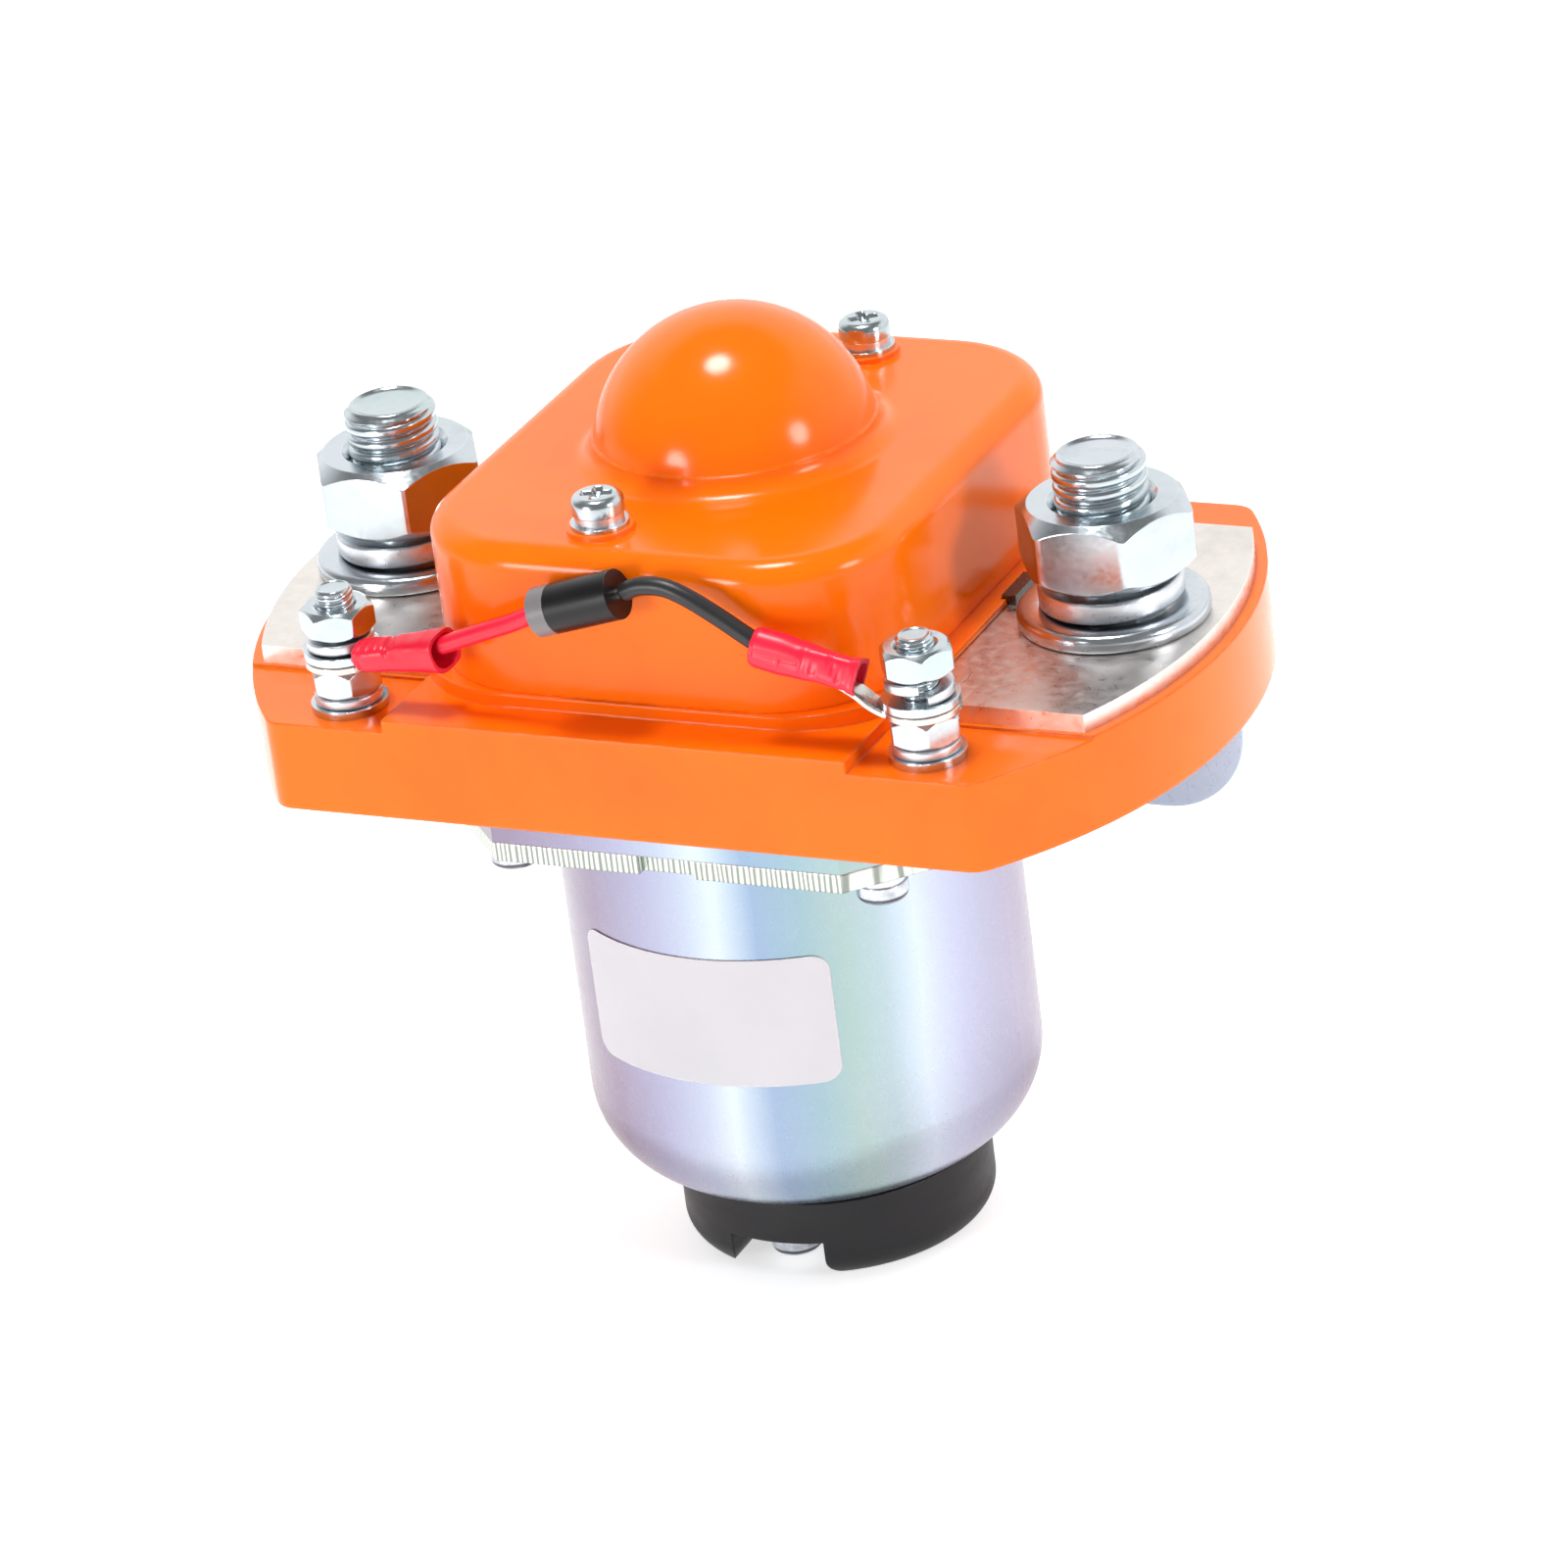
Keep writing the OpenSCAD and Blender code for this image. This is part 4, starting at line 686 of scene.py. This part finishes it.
for side in ("left", "right"):
    bolt("thread_main_" + side, "main_bolt_" + side, 10, 1.5, MAIN_FLATS, 6.4)
    bolt("thread_coil_" + side, "coil_bolt_" + side, 4, 0.7, COIL_FLATS, 2.8)
    washer("rolled_washer_" + side, "main_washer_" + side, 10.2, 5.3)
for name, node, flats, bore, turn_deg in (
        ("hex_main_left", "main_nut_left", MAIN_FLATS, MAIN_BORE, 1),
        ("hex_main_right", "main_nut_right", MAIN_FLATS, MAIN_BORE, 5),
        ("hex_low_left", "coil_nut_left", COIL_FLATS, COIL_BORE, 4),
        ("hex_low_right", "coil_nut_right", COIL_FLATS, COIL_BORE, -2),
        ("hex_up_left", "upper_nut_left", COIL_FLATS, COIL_BORE, 22),
        ("hex_up_right", "upper_nut_right", COIL_FLATS, COIL_BORE, 3)):
    nut(name, node, flats, bore, turn_deg)
# Section is the wire's own height, and the rest of the node's height is the rise of the open end
for name, node, radii, section, turn_deg, curl in (
        ("spring_main_left", "main_spring_washer_left", MAIN_SPLIT, 2.4, 115, 2.0),
        ("spring_main_right", "main_spring_washer_right", MAIN_SPLIT, 2.4, 115, 2.0),
        ("spring_low_left", "coil_spring_washer_left", COIL_SPLIT, 1.05, 100, 1.0),
        ("spring_low_right", "coil_spring_washer_right", COIL_SPLIT, 1.05, 160, 1.0),
        ("spring_up_left", "upper_spring_washer_left", COIL_SPLIT, 1.1, 150, 1.0),
        ("spring_up_right", "upper_spring_washer_right", COIL_SPLIT, 1.1, -60, 1.0)):
    split_ring(name, node, *radii, section, highs(node)[2] - lows(node)[2] - section, turn_deg, curl)


# Cover screws, in places that mirror each other through the axis
COVER_X, COVER_Y = (highs("cover_screws")[k] - HEAD_R for k in (0, 1))
screws = [pan_screw(place, turn_deg, lows("cover_screws")[2], highs("cover_screws")[2])
          for place, turn_deg in (((COVER_X, COVER_Y), 38), ((-COVER_X, -COVER_Y), 17))]
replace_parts(make("cross_screws", *join_parts(screws), "housing", "zinc_plate", sharp_deg=50), "cover_screws")


# Coil springs inside, each on its own body


def coil_spring(name, node, body, wire_d, turns):
    """Helical spring in its CAD node's box, riding on body."""
    low, high = lows(node), highs(node)
    centre = middle(node)
    mean_r = (high[0] - low[0] - wire_d) / 2
    per_turn = 32
    steps, climb = turns * per_turn, high[2] - low[2] - wire_d
    path = [Vector((centre[0] + mean_r * math.cos(2 * math.pi * i / per_turn),
                    centre[1] + mean_r * math.sin(2 * math.pi * i / per_turn),
                    low[2] + wire_d / 2 + climb * i / steps)) for i in range(steps + 1)]

    def wire(t, angle):
        return wire_d / 2 * math.cos(angle), wire_d / 2 * math.sin(angle)

    obj = make(name, *sweep(path, wire, 12, (0, 0, 1)), body, "spring_steel", sharp_deg=60)
    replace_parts(obj, node)
    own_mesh(obj)


coil_spring("helix_return", "return_spring", "housing", 1, 5)
coil_spring("helix_contact", "contact_spring", "armature", 1.2, 4)


# Diode leads, crimped sleeves and ring terminals

LEFT_STUD = middle("coil_bolt_left")
RIGHT_STUD = middle("coil_bolt_right")
RING_Z = lows("ring_terminal_left")[2]
LEAD_D, TERMINAL_T = 1.95, 0.8


def from_left(x, y, z):
    """Point inward, forward and up from the left ring's centre, in millimetres."""
    return Vector((LEFT_STUD[0] + x, LEFT_STUD[1] - y, RING_Z + z))


def from_right(x, y, z):
    """Point inward, forward and up from the right ring's centre, in millimetres."""
    return Vector((RIGHT_STUD[0] - x, RIGHT_STUD[1] - y, RING_Z + z))


def keyed(keys, t):
    """Smooth value between (place, value) keys."""
    for (t0, v0), (t1, v1) in zip(keys, keys[1:]):
        if t <= t1:
            u = max(0.0, (t - t0) / (t1 - t0))
            return v0 + (v1 - v0) * u * u * (3 - 2 * u)
    return keys[-1][1]


def dent(value, centre, width):
    """1 at centre, falling off smoothly over width."""
    return math.exp(-((value - centre) / width) ** 2)


def boxed(half_across, half_along, angle, square):
    """Point of a rounded rectangle: square is 1 for an ellipse and smaller for flatter sides."""
    c, s = math.cos(angle), math.sin(angle)
    return half_across * math.copysign(abs(c) ** square, c), half_along * math.copysign(abs(s) ** square, s)


def lead(name, node, points, slot):
    """Flexible sleeve of constant width with softened ends, in place of a CAD lead."""
    path = smooth_path(points, 12)

    def section(t, angle):
        end = min(t, 1 - t) * len(path) / 1.2
        r = LEAD_D / 2 * (1 if end > 1 else 0.86 + 0.14 * max(0.0, end) ** 0.5)
        return r * math.cos(angle), r * math.sin(angle)

    obj = make(name, *sweep(path, section, 28, (0, 1, 0)), "housing", slot, sharp_deg=50)
    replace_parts(obj, node)


def line(a, b, count):
    """Straight path of count steps."""
    return [a + (b - a) * i / count for i in range(count + 1)]


def cut_mouth(verts, start, mouth, front, back):
    """Cuts a sleeve's mouth aslant: its front edge moves back by front and its rear edge out by back."""
    way = (mouth - start).normalized()
    length = (mouth - start).length
    out = []
    for v in verts:
        p = Vector(v)
        t = (p - start).dot(way) / length
        share = max(0.0, (t - 0.6) / 0.4) ** 1.5
        side = max(-1.0, min(1.0, (p.y - mouth.y) / 1.8))
        out.append(tuple(p + way * share * (back * max(0.0, side) + front * min(0.0, side))))
    return out


def rolled(pair, angle):
    """A section's offsets turned about the sleeve's own axis."""
    c, s = math.cos(angle), math.sin(angle)
    return pair[0] * c - pair[1] * s, pair[0] * s + pair[1] * c


# Left sleeve: boxy round the lug, dented by the crimping tool, with an open mouth. Half heights and half
# widths are given at fractions of its length, as for the right one
LEFT_START, LEFT_MOUTH = from_left(3.3, 2.6, 2.0), from_left(13.7, 2.3, 3.3)
left_high = [(0, 1.15), (0.025, 1.36), (0.10, 1.5), (0.35, 1.6), (0.60, 1.85), (0.85, 2.1), (1, 2.15)]
left_wide = [(0, 1.3), (0.03, 1.55), (0.14, 1.75), (0.45, 1.7), (0.70, 1.75), (1, 2.05)]
LEFT_ROLL = math.radians(12)


def left_outer(t, angle):
    """Outer section: a dent and a small one beside it on top, rows of tool marks, and a pinched front."""
    across, along = boxed(keyed(left_high, t), keyed(left_wide, t), angle, 0.62)
    if across < 0:
        lumps = 0.30 * dent(t, 0.40, 0.03) + 0.12 * dent(t, 0.47, 0.02)
        for k in range(7):
            lumps += 0.13 * dent(t, 0.10 + 0.033 * k, 0.009) * dent(along, 0.8 * (k % 3 - 1), 0.5)
        across += lumps * min(1.0, -across)
    if along < 0:
        along += 0.25 * dent(t, 0.52, 0.07) * dent(across, -0.7, 0.6) * min(1.0, -along)
        along += 0.12 * dent(t, 0.05, 0.02)
    return rolled((across, along), LEFT_ROLL)


def left_inner(t, angle):
    high = keyed([(0, 0.4), (0.60, 0.5), (0.74, 1.25), (1, 1.75)], t)
    wide = keyed([(0, 0.9), (0.60, 0.9), (0.74, 1.3), (1, 1.7)], t)
    return rolled(boxed(high, wide, angle, 0.75), LEFT_ROLL)


verts, faces = hollow_sweep(line(LEFT_START, LEFT_MOUTH, 110), left_outer, left_inner, 72, (0, 1, 0))
sleeve = make("crimp_left", cut_mouth(verts, LEFT_START, LEFT_MOUTH, 0.7, 0.5), faces,
              "housing", "sleeve_red", sharp_deg=70)
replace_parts(sleeve, "terminal_sleeve_left")

# Right sleeve: its squared ring end is rolled forward, and a long crease grips the wire
RIGHT_START, RIGHT_MOUTH = from_right(5.6, 1.9, 4.0), from_right(17.1, 2.3, 6.8)
right_high = [(0, 1.95), (0.04, 1.88), (0.10, 1.72), (0.35, 1.7), (0.55, 1.95), (0.75, 2.15), (0.94, 2.15),
              (0.985, 2.0), (1, 1.8)]
right_wide = [(0, 1.9), (0.04, 1.8), (0.10, 1.7), (0.35, 1.7), (0.60, 1.75), (0.94, 1.8), (0.985, 1.65),
              (1, 1.5)]
right_roll = [(0, 0.42), (0.35, 0.42), (0.65, 0.15), (1, 0.1)]


def right_outer(t, angle):
    """Outer section: a crease where the sleeve grips the wire, and dents round the lug."""
    square = keyed([(0, 0.42), (0.35, 0.5), (0.60, 0.85), (1, 0.95)], t)
    across, along = boxed(keyed(right_high, t), keyed(right_wide, t), angle, square)
    if along < 0:
        grip = keyed([(0, 0), (0.52, 0), (0.56, 1), (0.97, 1), (1, 0.6)], t)
        grip *= 1 - 0.45 * dent(t, 0.72, 0.012)
        crease = 0.27 * dent(across, 0.05, 0.3) * grip + 0.12 * dent(across, -0.5, 0.4) * grip
        dips = 0.14 * (dent(t, 0.50, 0.04) + dent(t, 0.41, 0.02) * dent(across, -0.6, 0.5))
        for k in range(7):
            dips += 0.10 * dent(t, 0.05 + 0.055 * k, 0.018) * dent(across, 1.1 - 0.9 * ((3 * k) % 4), 0.5)
        along += (crease + dips) * min(1.0, -along / 0.8)
    if across < 0:
        for k in range(6):
            across += 0.09 * dent(t, 0.08 + 0.06 * k, 0.014) * dent(along, 0.7 * ((2 * k) % 3 - 1), 0.4)
    return rolled((across, along), keyed(right_roll, t))


def right_inner(t, angle):
    high = keyed([(0, 1.5), (0.20, 1.3), (0.45, 0.75), (0.85, 0.9), (1, 0.95)], t)
    wide = keyed([(0, 1.45), (0.20, 1.25), (0.45, 0.7), (0.85, 0.9), (1, 0.95)], t)
    return rolled(boxed(high, wide, angle, 0.6 if t < 0.4 else 1.0), keyed(right_roll, t))


sleeve = make("crimp_right",
              *hollow_sweep(line(RIGHT_START, RIGHT_MOUTH, 130), right_outer, right_inner, 84, (0, 1, 0)),
              "housing", "sleeve_red", sharp_deg=70)
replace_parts(sleeve, "terminal_sleeve_right")


def ring_terminal(name, node, stud, points, width):
    """Stamped ring with a tongue that bends up into the sleeve."""
    inner, outer, low, high = 2.1, 4.1, RING_Z, RING_Z + TERMINAL_T
    soft = 0.08
    section = [(inner, low), (outer - soft, low), (outer, low + soft), (outer, high - soft),
               (outer - soft, high), (inner, high)]
    verts, faces = [], []
    for c in range(COLS):
        a = 2 * math.pi * c / COLS
        verts += [(stud[0] + r * math.cos(a), stud[1] + r * math.sin(a), z) for r, z in section]
    n = len(section)
    for c in range(COLS):
        d = (c + 1) % COLS
        for k in range(n):
            j = (k + 1) % n
            faces.append((c * n + k, d * n + k, d * n + j, c * n + j))
    path = smooth_path(points, 8)

    def strip(t, angle):
        return boxed(TERMINAL_T / 2, keyed(width, t), angle, 0.35)

    tongue = sweep(path, strip, 32, (0, 1, 0))
    obj = make(name, *join_parts([(verts, faces), tongue]), "housing", "tinned_copper", sharp_deg=40)
    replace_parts(obj, node)


ring_terminal("lug_left", "ring_terminal_left", LEFT_STUD,
              [from_left(2.4, 1.2, 0.45), from_left(3.2, 1.8, 0.5), from_left(4.2, 2.3, 1.2),
               from_left(5.6, 2.5, 2.2), from_left(9.0, 2.5, 2.7)],
              [(0, 1.7), (0.4, 1.2), (1, 0.7)])
ring_terminal("lug_right", "ring_terminal_right", RIGHT_STUD,
              [from_right(2.4, 1.2, 0.45), from_right(3.4, 1.7, 0.6), from_right(4.6, 2.0, 1.35),
               from_right(6.0, 2.1, 2.5), from_right(8.0, 2.1, 3.6), from_right(10.0, 2.1, 4.3)],
              [(0, 1.9), (0.3, 1.25), (1, 1.15)])

# The diode's tilt, direction, middle and half length, and the paths of its two leads
DIODE_TILT = math.radians(16.5)
DIODE_DIR = Vector((math.cos(DIODE_TILT), 0, math.sin(DIODE_TILT)))
DIODE_MID = Vector((-2.9, LEFT_STUD[1] - 2.9, RING_Z + 10.3))
DIODE_HALF = 4.9
lead("red_lead", "lead_sleeve_red",
     [from_left(13.1, 2.3, 3.75), from_left(16.2, 2.3, 4.95), from_left(19.2, 2.4, 6.1),
      from_left(22.0, 2.6, 7.2), DIODE_MID - DIODE_DIR * (DIODE_HALF + 0.55)], "sleeve_red")
lead("black_lead", "lead_sleeve_black",
     [DIODE_MID + DIODE_DIR * (DIODE_HALF + 0.6) + Vector((0, 0, 0.05)),
      Vector((4.4, DIODE_MID.y, RING_Z + 12.75)), Vector((7.0, DIODE_MID.y, RING_Z + 12.85)),
      Vector((9.6, DIODE_MID.y, RING_Z + 11.95)), Vector((12.9, DIODE_MID.y + 0.2, RING_Z + 9.9)),
      from_right(17.2, 2.6, 7.75), from_right(16.0, 2.4, 7.0)],
     "sleeve_black")


# Stage, light and camera

SCENE.view_settings.view_transform = "Standard"

# Round floor just below the foot: radius and height in metres
FLOOR_R, FLOOR_Z, FLOOR_SEGS = 6.0, -0.0002, 64
floor_mesh = bpy.data.meshes.new("floor")
corners = [2 * math.pi * i / FLOOR_SEGS for i in range(FLOOR_SEGS)]
floor_mesh.from_pydata([(FLOOR_R * math.cos(a), FLOOR_R * math.sin(a), FLOOR_Z) for a in corners], [],
                       [tuple(range(FLOOR_SEGS))])
floor = bpy.data.objects.new("floor", floor_mesh)
SCENE.collection.objects.link(floor)
paper = Shader("floor_paper")
paper.colour(paper.ramp(paper.noise(3, 4, 0.6), [(0.3, (0.90, 0.90, 0.90)), (0.7, (0.94, 0.94, 0.94))]))
paper.roughness(paper.span(paper.noise(40, 3), 0.3, 0.7, 0.75, 0.9))
paper.set(Specular_IOR_Level=0.15, Emission_Color=(1, 1, 1, 1))
# The paper glows a little, most of all near the relay, which keeps its shadow faint
away = paper.add("ShaderNodeVectorMath", operation="LENGTH")
paper.link(paper.coord, away.inputs[0])
paper.link(paper.span(away.outputs["Value"], 0.12, 0.45, 0.60, 0.30), paper.bsdf.inputs["Emission Strength"])
floor_mesh.materials.append(paper.material)

world = bpy.data.worlds.new("studio")
SCENE.world = world
world.use_nodes = True
sky = world.node_tree
background = sky.nodes["Background"]
direction = sky.nodes.new("ShaderNodeSeparateXYZ")
sky.links.new(sky.nodes.new("ShaderNodeTexCoord").outputs["Generated"], direction.inputs[0])
# Strength of the dim room, and of the white paper sweep behind the object
ROOM, SWEEP = 0.25, 1.2


def sky_range(output, start, end, low, high):
    """Smooth change from low to high as the view direction's output goes from start to end."""
    node = sky.nodes.new("ShaderNodeMapRange")
    node.interpolation_type = "SMOOTHSTEP"
    sky.links.new(direction.outputs[output], node.inputs["Value"])
    for socket, value in (("From Min", start), ("From Max", end), ("To Min", low), ("To Max", high)):
        node.inputs[socket].default_value = value
    return node.outputs["Result"]


def sky_math(kind, a, b):
    node = sky.nodes.new("ShaderNodeMath")
    node.operation = kind
    sky.links.new(a, node.inputs[0])
    if isinstance(b, float):
        node.inputs[1].default_value = b
    else:
        sky.links.new(b, node.inputs[1])
    return node.outputs[0]


behind = sky_range("Y", -0.25, 0.45, 0, 1)
under = sky_range("Z", 0.62, 0.80, 1, 0)
sweep_share = sky_math("MULTIPLY", behind, under)
strength = sky_math("ADD", sky_math("MULTIPLY", sweep_share, SWEEP - ROOM), ROOM)
sky.links.new(strength, background.inputs["Strength"])
background.inputs["Color"].default_value = (1, 1, 1, 1)


def area(name, place, aim, size, power):
    """Round studio light at place, in metres, that faces aim."""
    light = bpy.data.lights.new(name, "AREA")
    light.shape = "DISK"
    light.size = size
    light.energy = power
    obj = bpy.data.objects.new(name, light)
    obj.location = place
    obj.rotation_euler = (Vector(aim) - Vector(place)).to_track_quat("-Z", "Y").to_euler()
    SCENE.collection.objects.link(obj)


# Three round lights: direction and distance from the middle of the dome's sphere, size and power. Each
# stands in the direction that its highlight on the dome gives
DOME_R = 15.3
DOME_MID = Vector((0, 0, highs("cover_moulding")[2] - DOME_R)) * MM
for name, way, reach, size, power in (
        ("overhead", (-0.091, -0.040, 0.995), 0.93, 0.26, 6.6),
        ("right_box", (0.948, -0.152, 0.279), 1.10, 0.30, 3.8),
        ("front_box", (-0.384, -0.916, 0.110), 1.10, 0.32, 4.9)):
    area(name, DOME_MID + Vector(way) * reach, DOME_MID, size, power)

# Camera solved from points measured on the photograph: angles in degrees, place and lens in millimetres
YAW, RISE, ROLL = (math.radians(v) for v in (27.794, 25.158, -7.444))
CAMERA_PLACE = Vector((360.153, -682.803, 414.188)) * MM
SENSOR, FOCAL = 36, 182.19
ahead = Vector((-math.sin(YAW) * math.cos(RISE), math.cos(YAW) * math.cos(RISE), -math.sin(RISE)))
right = Vector((math.cos(YAW), math.sin(YAW), 0))
above = right.cross(ahead)
axis_x = right * math.cos(ROLL) + above * math.sin(ROLL)
axis_y = above * math.cos(ROLL) - right * math.sin(ROLL)
lens = bpy.data.cameras.new("camera")
lens.sensor_width, lens.lens = SENSOR, FOCAL
lens.clip_start, lens.clip_end = 0.05, 50
camera = bpy.data.objects.new("camera", lens)
camera.matrix_world = Matrix((
    (axis_x.x, axis_y.x, -ahead.x, CAMERA_PLACE.x),
    (axis_x.y, axis_y.y, -ahead.y, CAMERA_PLACE.y),
    (axis_x.z, axis_y.z, -ahead.z, CAMERA_PLACE.z),
    (0, 0, 0, 1)))
SCENE.collection.objects.link(camera)
SCENE.camera = camera
